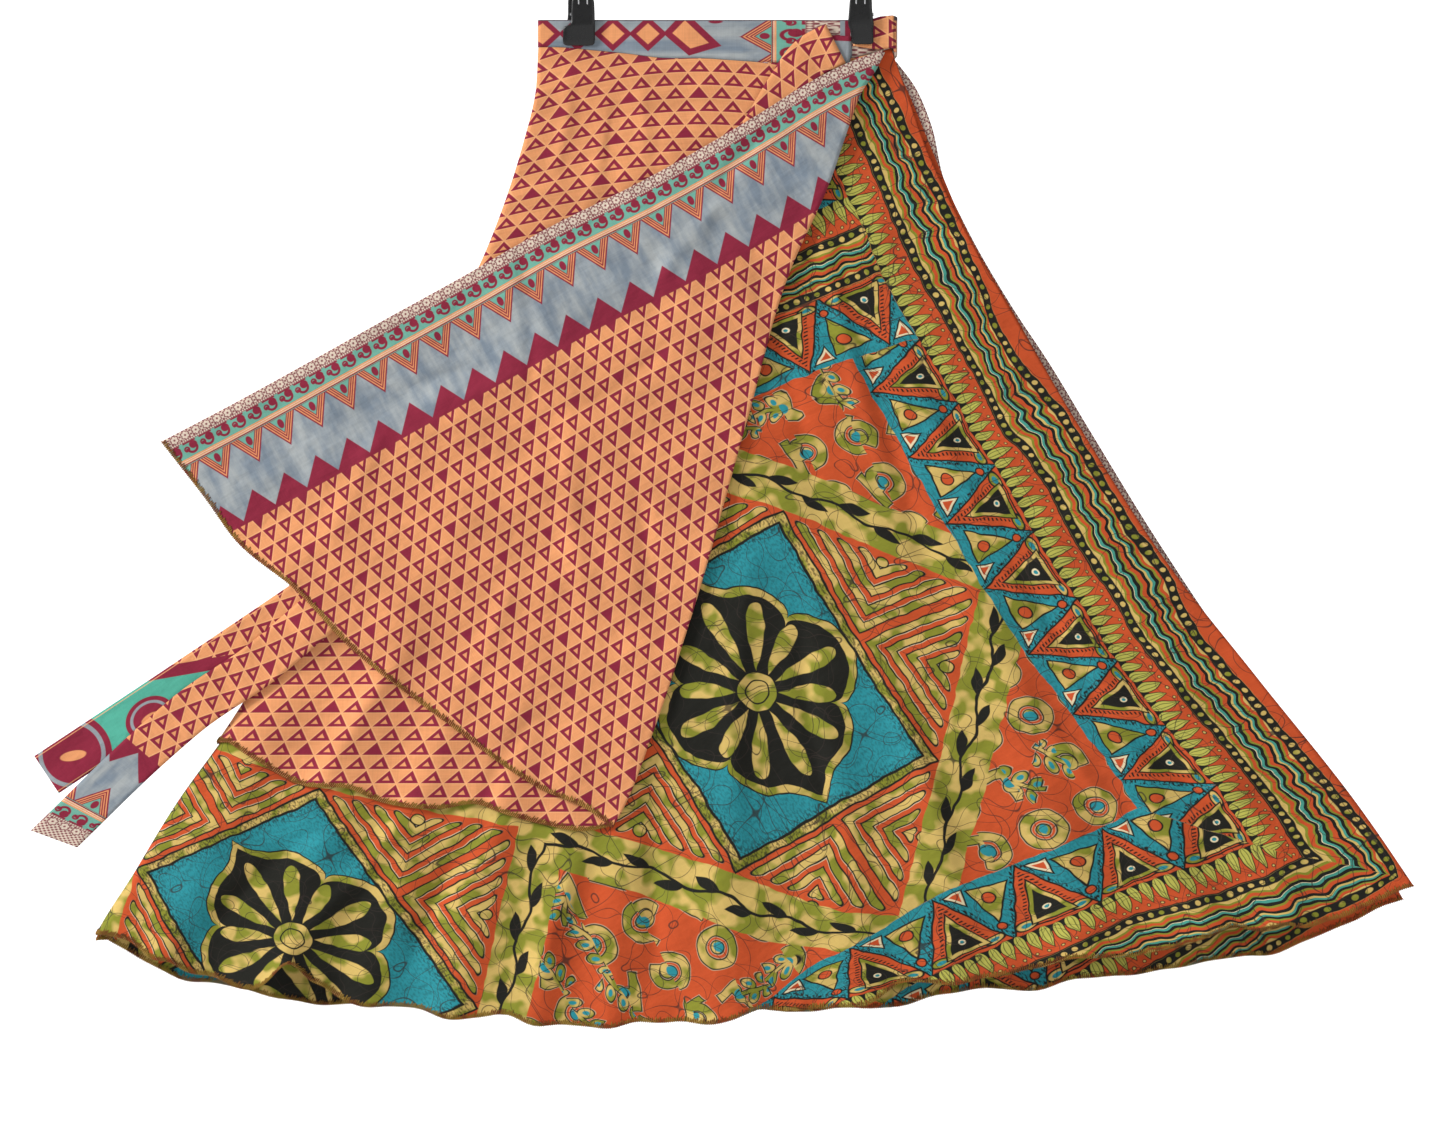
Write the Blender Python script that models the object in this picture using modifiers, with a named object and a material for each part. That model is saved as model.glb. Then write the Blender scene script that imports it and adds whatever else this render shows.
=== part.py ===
"""Reversible two-layer wrap skirt, folded in two and held by a clip hanger.

The skirt hangs in the XZ plane and faces -Y.  Places on the cloth are given as (right, down, out):
right of the hanger's middle, down from the waistband's top edge, and out from the middle plane towards
the front.  The origin is the inner top of the hanger's hook.
"""
import math
from collections import namedtuple

import bmesh
import bpy
import numpy as np

MM = 0.001
PART_NAME = "wrap_skirt"

# Cloth
SEAM_GAP = 0.3 * MM
PANEL_WALL = 1.2 * MM
BAND_WALL = 2.7 * MM
TIE_WALL = 1.6 * MM
TIE_WIDTH = 41.0 * MM
SKIRT_LENGTH = 930.0 * MM

# Distance out from the middle plane of each layer's centre line at the waist
INNER_OUT = 1.2 * MM
LAYER_STEP = 1.5 * MM
BAND_OUT = 1.95 * MM
TAB_OUT = 4.95 * MM

# The skirt opens towards the hem: more air inside, and between its two layers
HEM_BELLY = 12.0 * MM
BELLY_POWER = 1.5
LAYER_SPREAD = 2.6 * MM
SIDE_ROLL = 9.0 * MM
SIDE_EDGE_OUT = 0.35 * MM

# Depth share where the short layer ends at the side, and how soon the side then runs on the long one
SHORT_SHARE = 0.65
SHORT_SHARE_FADE = 0.25

# What the turned-back flap lies over
TIE_LIFT_UNDER = 2.2 * MM
TIE_LIFT_OVER = 4.5 * MM
FLAP_LIFT = 3.8 * MM
FLAP_LIFT_ON_TIES = 7.2 * MM
TIE_SHADOW = 30.0 * MM
TIE_SHADOW_FADE = 70.0 * MM

# Where the folds of the skirt would meet above the waist, and how far below it the hem lies
APEX = np.array((-3.0, -232.0)) * MM
HEM_REACH = 1150.0 * MM
FOLD_GROWTH = 1.3

# Rows of each cloth: down to the short layer's hem, and from there to the long layer's hem.  A power
# above 1 sets them closer at the waist
SHORT_ROWS = 9
LONG_ROWS = 3
ROW_SPACING = 1.1

# Where two outlines meet at a corner, a small step between them fades out along the edge.  A higher
# power fades it sooner
EDGE_FADE = 4
SHORT_FADE = 6
END_FADE = 12

# Steps along an outline when it is measured
OUTLINE_STEPS = 400

# Hanger
HOOK_WIRE = 1.9 * MM
HOOK_RADIUS = 20.0 * MM
HOOK_NECK = 57.0 * MM
HOOK_BEND_TOP = 18.0 * MM
HOOK_BEND_REACH = 13.0 * MM
HOOK_START_DEG = 210.0
HOOK_TIP_DEG = -35.0
BAR_RADIUS = 3.0 * MM
BAR_LENGTH = 330.0 * MM
BAR_ABOVE_WAIST = 32.0 * MM
CLIP_PIN_RADIUS = 1.6 * MM
CLIP_PIN_LENGTH = 17.0 * MM
CLIP_PIN_ABOVE_WAIST = 5.0 * MM
CLIP_STRAP_WALL = 1.2 * MM
CLIP_STRAP_WIDTH = 9.0 * MM
CLIP_CORNER = 0.9 * MM

# How far the waistband's top edge hangs below the hook's inner top
HANG = HOOK_RADIUS - HOOK_WIRE + HOOK_NECK + BAR_RADIUS + BAR_ABOVE_WAIST

# Outlines, in millimetres: (right, down)
LEFT_SIDE = ((-168, 25), (-171, 69), (-181, 110), (-195, 156), (-212, 202), (-267, 313),
             (-350, 469), (-459, 658), (-501, 718), (-544, 791), (-575, 845))
FREE_EDGE = ((157, 26), (171, 66), (188, 115), (221, 186), (268, 269), (335, 382),
             (409, 497), (495, 607), (583, 718), (637, 795))
BACK_FREE_EDGE = ((160, 38), (176, 74), (197, 125), (225, 190), (270, 270), (336, 384),
                  (409, 500), (493, 611), (578, 724), (629, 808))
BACK_SHORT_EDGE = ((162, 38), (179, 61), (194, 96), (206, 147), (224, 186), (268, 263),
                   (303, 316), (341, 379), (407, 486), (478, 589), (550, 673))
FOLD_LINE = ((151, 30), (143, 46), (130, 66), (118, 98), (102, 145), (62, 236),
             (25, 366), (-27, 549), (-61, 652), (-92, 730), (-99, 742))
FLAP_EDGE = ((143, 30), (124, 37), (73, 63), (40, 84), (-3, 110), (-71, 148),
             (-161, 193), (-242, 239), (-309, 276), (-375, 313), (-442, 350), (-514, 388))
FRONT_HEM = ((-575, 845), (-488, 876), (-387, 894), (-276, 909), (-148, 922), (-19, 918),
             (110, 905), (220, 883), (331, 867), (441, 848), (552, 830), (637, 795))
BACK_HEM = ((-575, 845), (-516, 876), (-460, 889), (-396, 900), (-295, 905), (-148, 913),
            (0, 911), (128, 908), (220, 894), (298, 886), (441, 867), (524, 852), (629, 808))
SHORT_HEM = ((-462, 664), (-431, 682), (-385, 704), (-345, 706), (-312, 719), (-258, 725),
             (-223, 721), (-198, 730), (-161, 740), (-123, 746), (-99, 742))
BACK_SHORT_HEM = ((-462, 664), (-387, 708), (-276, 738), (-148, 759), (0, 769), (147, 762),
                  (294, 742), (423, 713), (550, 673))
FLAP_HEM = ((-99, 742), (-123, 725), (-161, 709), (-201, 684), (-246, 650), (-288, 619),
            (-340, 577), (-387, 527), (-446, 478), (-472, 442), (-514, 388))
FRONT_BAND_FOOT = ((-168, 25), (-148, 25), (-115, 28), (-85, 31), (-51, 35), (-19, 35),
                   (12, 37), (45, 39), (100, 38), (135, 32), (157, 26))
BACK_BAND_FOOT = ((-168, 25), (-120, 31), (-60, 36), (162, 38))
TIE_UPPER = ((100, 14), (98, 42), (86, 78), (46, 138), (-28, 228), (-120, 322), (-221, 414),
             (-313, 488), (-396, 545), (-497, 613), (-619, 694))
TIE_LOWER = ((106, 22), (84, 34), (62, 64), (42, 98), (-19, 179), (-111, 290), (-203, 391),
             (-295, 483), (-378, 554), (-419, 589), (-488, 637), (-516, 661), (-612, 753))

# Folds that run down the skirt, one row each: angle from straight down, half width in degrees, how far
# the ridge stands out and how much lower the hem hangs there in millimetres, and where along the way
# down it starts
Fold = namedtuple("Fold", "angle half_width out drop start")
FRONT_FOLDS = (
    Fold(-25.0, 1.5, 10.0, 5.0, 0.64),
    Fold(-20.2, 1.7, 12.0, 6.0, 0.60),
    Fold(-16.0, 1.2, 9.0, 4.0, 0.68),
    Fold(-12.0, 1.5, 12.0, 5.0, 0.62),
    Fold(-8.1, 1.1, 9.0, 4.0, 0.70),
    Fold(-5.0, 1.0, 8.0, 5.0, 0.70),
    Fold(0.2, 1.8, 12.0, 6.0, 0.58),
    Fold(6.6, 1.5, 11.0, 6.0, 0.55),
    Fold(11.3, 1.2, 8.0, 3.0, 0.58),
    Fold(17.6, 1.6, 10.0, 3.0, 0.45),
    Fold(22.6, 1.2, 9.0, 3.0, 0.60),
    Fold(26.6, 1.2, 8.0, 3.0, 0.55),
)
BACK_FOLDS = (
    Fold(-24.0, 1.4, 9.0, 3.0, 0.50),
    Fold(-18.2, 1.8, 12.0, 4.0, 0.38),
    Fold(-13.6, 1.1, 8.0, 3.0, 0.60),
    Fold(-9.4, 1.3, 10.0, 4.0, 0.52),
    Fold(-2.6, 1.7, 12.0, 5.0, 0.42),
    Fold(3.4, 1.2, 9.0, 3.0, 0.60),
    Fold(8.6, 1.5, 11.0, 5.0, 0.46),
    Fold(14.4, 1.3, 9.0, 6.0, 0.56),
    Fold(19.8, 1.6, 10.0, 4.0, 0.45),
    Fold(25.4, 1.3, 8.0, 3.0, 0.58),
)

# Waistband's lapped end, in millimetres: where along it, its top edge and its bottom edge
TabRow = namedtuple("TabRow", "right top foot")
TAB = (TabRow(122, 2, 24), TabRow(134, 1, 26), TabRow(147, -3, 27.5), TabRow(158, -4, 26))
BACK_BAND_END = TabRow(158, 0, 38)
FRONT_BAND_END = 156.0 * MM

# Clip jaw, in millimetres: down from the waist, share of the jaw's width, gap to the clip's middle
# plane beyond half the thickness it grips, and thickness
JawRow = namedtuple("JawRow", "down width gap wall")
JAW = (JawRow(-25, 0.68, 3.0, 2.4), JawRow(-14, 0.72, 1.8, 3.4), JawRow(-5, 0.72, 0.3, 4.6),
       JawRow(4, 0.76, 0.3, 5.2), JawRow(8, 0.92, 0.3, 4.8), JawRow(18, 1.0, 0.3, 3.6),
       JawRow(23.5, 0.96, 0.3, 2.2))
Clip = namedtuple("Clip", "name right width grip_back grip_front")
CLIPS = (Clip("clip_left", -130.0, 29.5, -3.3, 3.3), Clip("clip_right", 132.4, 20.0, -3.3, 6.3))

# Material colour, roughness and metallic value of each kind of piece
FINISHES = {
    "peach_cloth": ((0.81, 0.39, 0.15), 0.75, 0.0),
    "orange_cloth": ((0.61, 0.09, 0.02), 0.75, 0.0),
    "band_cloth": ((0.26, 0.33, 0.40), 0.75, 0.0),
    "tie_cloth": ((0.70, 0.33, 0.16), 0.75, 0.0),
    "black_plastic": ((0.012, 0.012, 0.012), 0.35, 0.0),
    "steel": ((0.62, 0.62, 0.62), 0.25, 1.0),
}


def smoothstep(t):
    """0 below 0, 1 above 1, and a soft S between."""
    t = np.clip(t, 0.0, 1.0)
    return t * t * (3 - 2 * t)


def smooth_curve(rows, fractions):
    """Points at fractions of the length of a smooth curve through rows of (right, down)."""
    points = np.array(rows, float) * MM
    steps = np.linalg.norm(np.diff(points, axis=0), axis=1)
    chord = np.concatenate(([0.0], np.cumsum(steps)))
    slopes = np.gradient(points, chord, axis=0)
    fine = np.linspace(0.0, chord[-1], OUTLINE_STEPS)
    first = np.clip(np.searchsorted(chord, fine, side="right") - 1, 0, len(rows) - 2)
    span = (chord[first + 1] - chord[first])[:, None]
    t = (fine - chord[first])[:, None] / span
    line = points[first] * (2 * t**3 - 3 * t**2 + 1)
    line += points[first + 1] * (3 * t**2 - 2 * t**3)
    line += slopes[first] * span * (t**3 - 2 * t**2 + t)
    line += slopes[first + 1] * span * (t**3 - t**2)
    length = np.concatenate(([0.0], np.cumsum(np.linalg.norm(np.diff(line, axis=0), axis=1))))
    place = np.asarray(fractions) * length[-1]
    return np.column_stack([np.interp(place, length, line[:, axis]) for axis in (0, 1)])


def height_at(rows, right):
    """How far down an outline lies at each place to the right."""
    line = smooth_curve(rows, np.linspace(0.0, 1.0, OUTLINE_STEPS))
    return np.interp(right, line[:, 0], line[:, 1])


def cut_at(rows, down):
    """An outline that runs downwards, as a fraction of its length at a given depth."""
    fractions = np.linspace(0.0, 1.0, OUTLINE_STEPS)
    return np.interp(down, smooth_curve(rows, fractions)[:, 1], fractions)


def fill_patch(top, foot, left, right, across, down):
    """Blend of the two sides plus blend of the two ends, less the blend of the four corners."""
    u = across[None, :, None]
    v = down[:, None, None]
    sides = (1 - u) * left[:, None] + u * right[:, None]
    ends = (1 - v) * top[None] + v * foot[None]
    upper = (1 - u) * top[0] + u * top[-1]
    lower = (1 - u) * foot[0] + u * foot[-1]
    return sides + ends - (1 - v) * upper - v * lower


def depth_share(place):
    """0 at the waist and 1 at the hem."""
    return np.clip(place[..., 1] / SKIRT_LENGTH, 0.0, 1.0)


def fold_weights(place, fold):
    """A ridge along a ray from the apex: bell across, growing from its start to the hem."""
    offset = place - APEX
    angle = np.degrees(np.arctan2(offset[..., 0], offset[..., 1]))
    reach = np.hypot(offset[..., 0], offset[..., 1]) / HEM_REACH
    bell = np.exp(-((angle - fold.angle) / fold.half_width) ** 2)
    return bell * np.clip((reach - fold.start) / (1 - fold.start), 0.0, 1.2) ** FOLD_GROWTH


def ridges(place, folds):
    """How far the folds stand out."""
    return sum(fold.out * MM * fold_weights(place, fold) for fold in folds)


def hang_lower(place, folds):
    """The same places, with the hem a little lower at each ridge."""
    drop = sum(fold.drop * MM * fold_weights(place, fold) for fold in folds)
    return np.stack([place[..., 0], place[..., 1] + drop], axis=-1)


def inner_out(place, folds):
    """Distance from the middle plane to the inner layer's centre line."""
    return INNER_OUT + HEM_BELLY * depth_share(place) ** BELLY_POWER + ridges(place, folds)


def layer_gap(place):
    """Distance from the inner layer's centre line to the outer layer's."""
    return LAYER_STEP + LAYER_SPREAD * depth_share(place)


def outer_out(place, folds):
    """Distance from the middle plane to the outer layer's centre line."""
    return inner_out(place, folds) + layer_gap(place)


def roll_width(place):
    """How wide the inner layer's quarter turn is at the left side fold."""
    return INNER_OUT + SIDE_ROLL * depth_share(place)


def fold_centres(down):
    """Centre of the left side fold, which both layers turn round."""
    side = smooth_curve(LEFT_SIDE, down)
    fade = 1 - smoothstep((depth_share(side) - SHORT_SHARE) / SHORT_SHARE_FADE)
    wide = PANEL_WALL / 2 + roll_width(side) + layer_gap(side) * fade
    return side + np.column_stack((wide, np.zeros(len(wide))))


def with_side_roll(place, out, turn, count=3):
    """Adds a quarter turn at the left: an ellipse from the first column down to the middle plane."""
    angles = np.linspace(0.0, math.pi / 2, count, endpoint=False)[None, :]
    start = place[:, :1]
    right = start[..., 0] - turn[:, None] * np.cos(angles)
    down = np.repeat(start[..., 1], count, axis=1)
    edge_out = SIDE_EDGE_OUT + (out[:, :1] - SIDE_EDGE_OUT) * np.sin(angles)
    return np.concatenate((np.stack((right, down), axis=-1), place), axis=1), np.hstack((edge_out, out))


def world(place, out):
    """Places on the cloth as points in space."""
    return np.stack((place[..., 0], -out, -HANG - place[..., 1]), axis=-1)


def levels(whole_length):
    """Rows as fractions of the left side: both layers share them down to the short layer's hem."""
    short_end = cut_at(LEFT_SIDE, SHORT_HEM[0][1] * MM)
    short = np.linspace(0.0, 1.0, SHORT_ROWS + 1) ** ROW_SPACING * short_end
    below = np.linspace(short_end, 1.0, LONG_ROWS + 1)[1:]
    return np.concatenate((short, below)) if whole_length else short


def skirt_panel(foot_rows, edge_rows, band_rows, folds, layer, columns):
    """One half of a layer, from the left side fold to its free edge."""
    out_of, turn_of, whole_length = layer
    across = np.linspace(0.0, 1.0, columns + 1)
    side = levels(whole_length)
    down = side / side[-1]
    left = fold_centres(side)
    right = smooth_curve(edge_rows, down)
    top_right = np.linspace(left[0, 0], right[0, 0], columns + 1)
    top = np.column_stack((top_right, height_at(band_rows, top_right) + SEAM_GAP))
    foot = smooth_curve(foot_rows, across)
    foot[:, 0] += (left[-1, 0] - foot[0, 0]) * (1 - across) ** EDGE_FADE
    left[:, 1] += (top[0, 1] - left[0, 1]) * (1 - down)
    right[:, 1] += (top[-1, 1] - right[0, 1]) * (1 - down) ** SHORT_FADE
    place = hang_lower(fill_patch(top, foot, left, right, across, down), folds)
    return with_side_roll(place, out_of(place, folds), turn_of(place[:, 0]))


def outer_turn(place):
    """How wide the outer layer's quarter turn is at the left side fold."""
    return roll_width(place) + layer_gap(place)


INNER_LAYER = (inner_out, roll_width, True)
OUTER_LAYER = (outer_out, outer_turn, False)


def inner_front_surface(columns=60):
    place, out = skirt_panel(FRONT_HEM, FREE_EDGE, FRONT_BAND_FOOT, FRONT_FOLDS, INNER_LAYER, columns)
    return world(place, out)


def inner_back_surface(columns=48):
    place, out = skirt_panel(BACK_HEM, BACK_FREE_EDGE, BACK_BAND_FOOT, BACK_FOLDS, INNER_LAYER, columns)
    return world(place, -out)


def outer_back_surface(columns=40):
    place, out = skirt_panel(BACK_SHORT_HEM, BACK_SHORT_EDGE, BACK_BAND_FOOT, BACK_FOLDS, OUTER_LAYER,
                             columns)
    return world(place, -out)


def tie_cover(place):
    """1 over the ties and 0 well away from them."""
    share = np.linspace(0.0, 1.0, 60)
    route = np.concatenate([smooth_curve(rows, share) for rows in (TIE_UPPER, TIE_LOWER)])
    away = np.linalg.norm(place[..., None, :] - route, axis=-1).min(axis=-1)
    return 1 - smoothstep((away - TIE_SHADOW) / TIE_SHADOW_FADE)


def flap_lift(place):
    """Distance from the outer layer's front to the flap that is turned back over it."""
    return FLAP_LIFT + (FLAP_LIFT_ON_TIES - FLAP_LIFT) * tie_cover(place)


def outer_front_surface(body_columns=28, fold_columns=4, flap_columns=26):
    """The short front, its fold at the right and the flap turned back to the left, as one sheet."""
    side = levels(whole_length=False)
    down = side / side[-1]
    fold = smooth_curve(FOLD_LINE, down)
    along = np.gradient(fold, axis=0)
    along /= np.linalg.norm(along, axis=1)[:, None]
    outward = np.column_stack((along[:, 1], -along[:, 0]))
    radius = flap_lift(fold) / 2
    inside = fold - outward * radius[:, None]

    across = np.linspace(0.0, 1.0, body_columns + 1)
    left = fold_centres(side)
    top_right = np.linspace(left[0, 0], inside[0, 0], body_columns + 1)
    top = np.column_stack((top_right, height_at(FRONT_BAND_FOOT, top_right) + SEAM_GAP))
    foot = smooth_curve(SHORT_HEM, across)
    foot[:, 0] += (left[-1, 0] - foot[0, 0]) * (1 - across) ** EDGE_FADE
    foot += (inside[-1] - foot[-1]) * across[:, None] ** EDGE_FADE
    left[:, 1] += (top[0, 1] - left[0, 1]) * (1 - down)
    right = inside.copy()
    right[:, 1] += (top[-1, 1] - right[0, 1]) * (1 - down) ** SHORT_FADE
    body = fill_patch(top, foot, left, right, across, down)
    body_out = outer_out(body, FRONT_FOLDS)
    body_place, body_out = with_side_roll(body, body_out, outer_turn(body[:, 0]))

    across = np.linspace(0.0, 1.0, flap_columns + 1)
    free = smooth_curve(FLAP_EDGE, down)
    top = inside[0] + (free[0] - inside[0]) * across[:, None]
    foot = smooth_curve(FLAP_HEM, across)
    foot += (inside[-1] - foot[0]) * (1 - across[:, None]) ** EDGE_FADE
    flap = fill_patch(top, foot, inside, free, across, down)
    flap_out = outer_out(flap, FRONT_FOLDS) + flap_lift(flap)

    turns = np.linspace(-math.pi / 2, math.pi / 2, fold_columns + 1)[1:-1]
    low = body_out[:, -1:]
    high = flap_out[:, :1]
    share = np.linspace(0.0, 1.0, fold_columns + 1)[1:-1][None, :, None]
    middle = body_place[:, -1:] * (1 - share) + flap[:, :1] * share
    bend = middle + (outward * radius[:, None])[:, None] * np.cos(turns)[None, :, None]
    bend_out = (low + high) / 2 + (high - low) / 2 * np.sin(turns)[None]
    place = np.concatenate((body_place, bend, flap), axis=1)
    return world(place, np.hstack((body_out, bend_out, flap_out)))


def tie_surface(rows, lift, end_slant, columns=44):
    """A flat strap along its route, on the outer layer's front and under the flap."""
    share = np.linspace(0.0, 1.0, columns + 1)
    middle = smooth_curve(rows, share)
    along = np.gradient(middle, axis=0)
    along /= np.linalg.norm(along, axis=1)[:, None]
    side = np.column_stack((along[:, 1], -along[:, 0]))
    halves = np.linspace(-0.5, 0.5, 3)
    place = middle[:, None] + side[:, None] * TIE_WIDTH * halves[None, :, None]
    slant = along[:, None] * end_slant * halves[None, :, None]
    place += slant * share[:, None, None] ** END_FADE
    return world(place, outer_out(place, FRONT_FOLDS) + lift)


def waistband_surface(rows=2):
    """The band's route seen from above, and its top and bottom edge at each place along it."""
    left_turn_right = FRONT_BAND_FOOT[0][0] * MM + BAND_WALL / 2 + BAND_OUT
    turn = np.linspace(0.0, math.pi, 6)
    front_right = np.linspace(FRONT_BAND_END, left_turn_right, 25)[:-1]
    back_right = np.linspace(left_turn_right, BACK_BAND_END.right * MM, 13)[1:-1]
    end_radius = (TAB_OUT + BAND_OUT) / 2
    tab_right = np.array([row.right for row in TAB[::-1]]) * MM
    right = np.concatenate((front_right,
                            left_turn_right - BAND_OUT * np.sin(turn),
                            back_right,
                            BACK_BAND_END.right * MM + end_radius * np.sin(turn),
                            tab_right[1:]))
    out = np.concatenate((np.full(len(front_right), BAND_OUT),
                          BAND_OUT * np.cos(turn),
                          np.full(len(back_right), -BAND_OUT),
                          (TAB_OUT - BAND_OUT) / 2 - end_radius * np.cos(turn),
                          np.full(len(TAB) - 1, TAB_OUT)))
    turned = turn / math.pi
    tab_top = np.array([row.top for row in TAB[::-1]]) * MM
    tab_foot = np.array([row.foot for row in TAB[::-1]]) * MM
    straight = len(front_right) + len(turn) + len(back_right)
    top = np.concatenate((np.zeros(straight), tab_top[0] * turned, tab_top[1:]))
    back_end = BACK_BAND_END.foot * MM
    foot = np.concatenate((height_at(FRONT_BAND_FOOT, front_right),
                           np.full(len(turn), FRONT_BAND_FOOT[0][1] * MM),
                           height_at(BACK_BAND_FOOT, back_right),
                           back_end + (tab_foot[0] - back_end) * turned,
                           tab_foot[1:]))
    share = np.linspace(0.0, 1.0, rows + 1)[:, None]
    down = top[None] * (1 - share) + foot[None] * share
    right = np.repeat(right[None], rows + 1, axis=0)
    return world(np.stack((right, down), axis=-1), np.repeat(out[None], rows + 1, axis=0))


def clear_scene():
    for item in list(bpy.data.objects):
        bpy.data.objects.remove(item)


def make_material(name, finish):
    colour, roughness, metallic = FINISHES[finish]
    material = bpy.data.materials.new(name)
    material.use_nodes = True
    shader = material.node_tree.nodes["Principled BSDF"]
    shader.inputs["Base Color"].default_value = (*colour, 1.0)
    shader.inputs["Roughness"].default_value = roughness
    shader.inputs["Metallic"].default_value = metallic
    return material


def add_object(collection, name, data, finish):
    data.materials.append(make_material(name, finish))
    item = bpy.data.objects.new(name, data)
    collection.objects.link(item)
    return item


def add_cloth(collection, name, surface, wall, finish):
    """A grid moved onto the surface and given its thickness by Solidify."""
    rows, columns = surface.shape[:2]
    grid = bmesh.new()
    bmesh.ops.create_grid(grid, x_segments=columns - 1, y_segments=rows - 1, size=1.0)
    for vertex in grid.verts:
        column = round((vertex.co.x + 1) / 2 * (columns - 1))
        row = round((1 - vertex.co.y) / 2 * (rows - 1))
        vertex.co = surface[row, column]
    mesh = bpy.data.meshes.new(name)
    grid.to_mesh(mesh)
    grid.free()
    mesh.shade_smooth()
    item = add_object(collection, name, mesh, finish)
    thickness = item.modifiers.new("wall", "SOLIDIFY")
    thickness.thickness = wall
    thickness.offset = 0.0
    return item


def add_wire(collection, name, points, radius, finish):
    """A round wire along a poly line, with filled ends."""
    curve = bpy.data.curves.new(name, "CURVE")
    curve.dimensions = "3D"
    curve.bevel_depth = radius
    curve.bevel_resolution = 2
    curve.use_fill_caps = True
    spline = curve.splines.new("POLY")
    spline.points.add(len(points) - 1)
    for place, point in zip(spline.points, points):
        place.co = (*point, 1.0)
    return add_object(collection, name, curve, finish)


def hook_route():
    """Neck straight up, a soft bend to the left, then round over the top to the right."""
    centre = HOOK_WIRE - HOOK_RADIUS
    start_angle = math.radians(HOOK_START_DEG)
    start = np.array((HOOK_RADIUS * math.cos(start_angle), centre + HOOK_RADIUS * math.sin(start_angle)))
    heading = np.array((math.sin(start_angle), -math.cos(start_angle)))
    neck_top = np.array((0.0, centre - HOOK_RADIUS - HOOK_BEND_TOP))
    handle_a = neck_top + np.array((0.0, HOOK_BEND_REACH))
    handle_b = start - heading * HOOK_BEND_REACH
    foot = np.array((0.0, -HANG + BAR_ABOVE_WAIST + BAR_RADIUS + SEAM_GAP))
    t = np.linspace(0.0, 1.0, 7)[:-1, None]
    bend = ((1 - t) ** 3 * neck_top + 3 * (1 - t) ** 2 * t * handle_a
            + 3 * (1 - t) * t**2 * handle_b + t**3 * start)
    angles = np.radians(np.linspace(HOOK_START_DEG, HOOK_TIP_DEG, 18))
    over = np.column_stack((HOOK_RADIUS * np.cos(angles), centre + HOOK_RADIUS * np.sin(angles)))
    flat = np.vstack((foot, bend, over))
    return np.column_stack((flat[:, 0], np.zeros(len(flat)), flat[:, 1]))


def add_rod(collection, name, radius, length, place, finish):
    """A rod along X with small chamfers at its ends."""
    rod = bmesh.new()
    bmesh.ops.create_cone(rod, cap_ends=True, segments=16, radius1=radius, radius2=radius, depth=length)
    mesh = bpy.data.meshes.new(name)
    rod.to_mesh(mesh)
    rod.free()
    item = add_object(collection, name, mesh, finish)
    item.rotation_euler = (0.0, math.pi / 2, 0.0)
    item.location = place
    return item


def add_jaw(collection, clip, facing):
    """A tapered plate: a rectangle at each row of the table, joined one to the next."""
    half_grip = (clip.grip_front - clip.grip_back) / 2
    middle = (clip.grip_front + clip.grip_back) / 2
    side = "front" if facing > 0 else "back"
    name = f"{clip.name}_{side}_jaw"
    plate = bmesh.new()
    bmesh.ops.create_cube(plate, size=1.0)
    tall = [edge for edge in plate.edges if abs(edge.verts[0].co.z - edge.verts[1].co.z) > 0.5]
    bmesh.ops.subdivide_edges(plate, edges=tall, cuts=len(JAW) - 2, use_grid_fill=True)
    for vertex in plate.verts:
        row = JAW[round((0.5 - vertex.co.z) * (len(JAW) - 1))]
        near = half_grip + row.gap
        out = near if vertex.co.y * facing > 0 else near + row.wall
        right = clip.right + math.copysign(clip.width * row.width / 2, vertex.co.x)
        vertex.co = (right * MM, -(middle + facing * out) * MM, -HANG - row.down * MM)
    bmesh.ops.recalc_face_normals(plate, faces=plate.faces)
    mesh = bpy.data.meshes.new(name)
    plate.to_mesh(mesh)
    plate.free()
    item = add_object(collection, name, mesh, "black_plastic")
    corner = item.modifiers.new("corner", "BEVEL")
    corner.width = CLIP_CORNER
    corner.segments = 2
    corner.limit_method = "ANGLE"
    corner.angle_limit = math.radians(40)
    return item


def add_strap(collection, clip):
    """A steel strip bent round the bar above and round the clip's pin below."""
    middle = (clip.grip_front + clip.grip_back) / 2 * MM
    bar_z = -HANG + BAR_ABOVE_WAIST
    pin_z = -HANG + CLIP_PIN_ABOVE_WAIST
    angles = np.linspace(0.0, math.pi, 9)
    bar_turn = BAR_RADIUS + SEAM_GAP + CLIP_STRAP_WALL / 2
    pin_turn = CLIP_PIN_RADIUS + SEAM_GAP + CLIP_STRAP_WALL / 2
    upper = np.column_stack((bar_turn * np.cos(angles), bar_z + bar_turn * np.sin(angles)))
    lower = np.column_stack((middle - pin_turn * np.cos(angles), pin_z - pin_turn * np.sin(angles)))
    loop = np.vstack((upper, lower))
    ring = bmesh.new()
    edges = []
    for side in (-0.5, 0.5):
        right = clip.right * MM + side * CLIP_STRAP_WIDTH
        verts = [ring.verts.new((right, -out, up)) for out, up in loop]
        edges += [ring.edges.new((a, b)) for a, b in zip(verts, verts[1:] + verts[:1])]
    bmesh.ops.bridge_loops(ring, edges=edges)
    bmesh.ops.recalc_face_normals(ring, faces=ring.faces)
    name = f"{clip.name}_strap"
    mesh = bpy.data.meshes.new(name)
    ring.to_mesh(mesh)
    ring.free()
    mesh.shade_smooth()
    item = add_object(collection, name, mesh, "steel")
    thickness = item.modifiers.new("wall", "SOLIDIFY")
    thickness.thickness = CLIP_STRAP_WALL
    thickness.offset = 0.0
    return item


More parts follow.
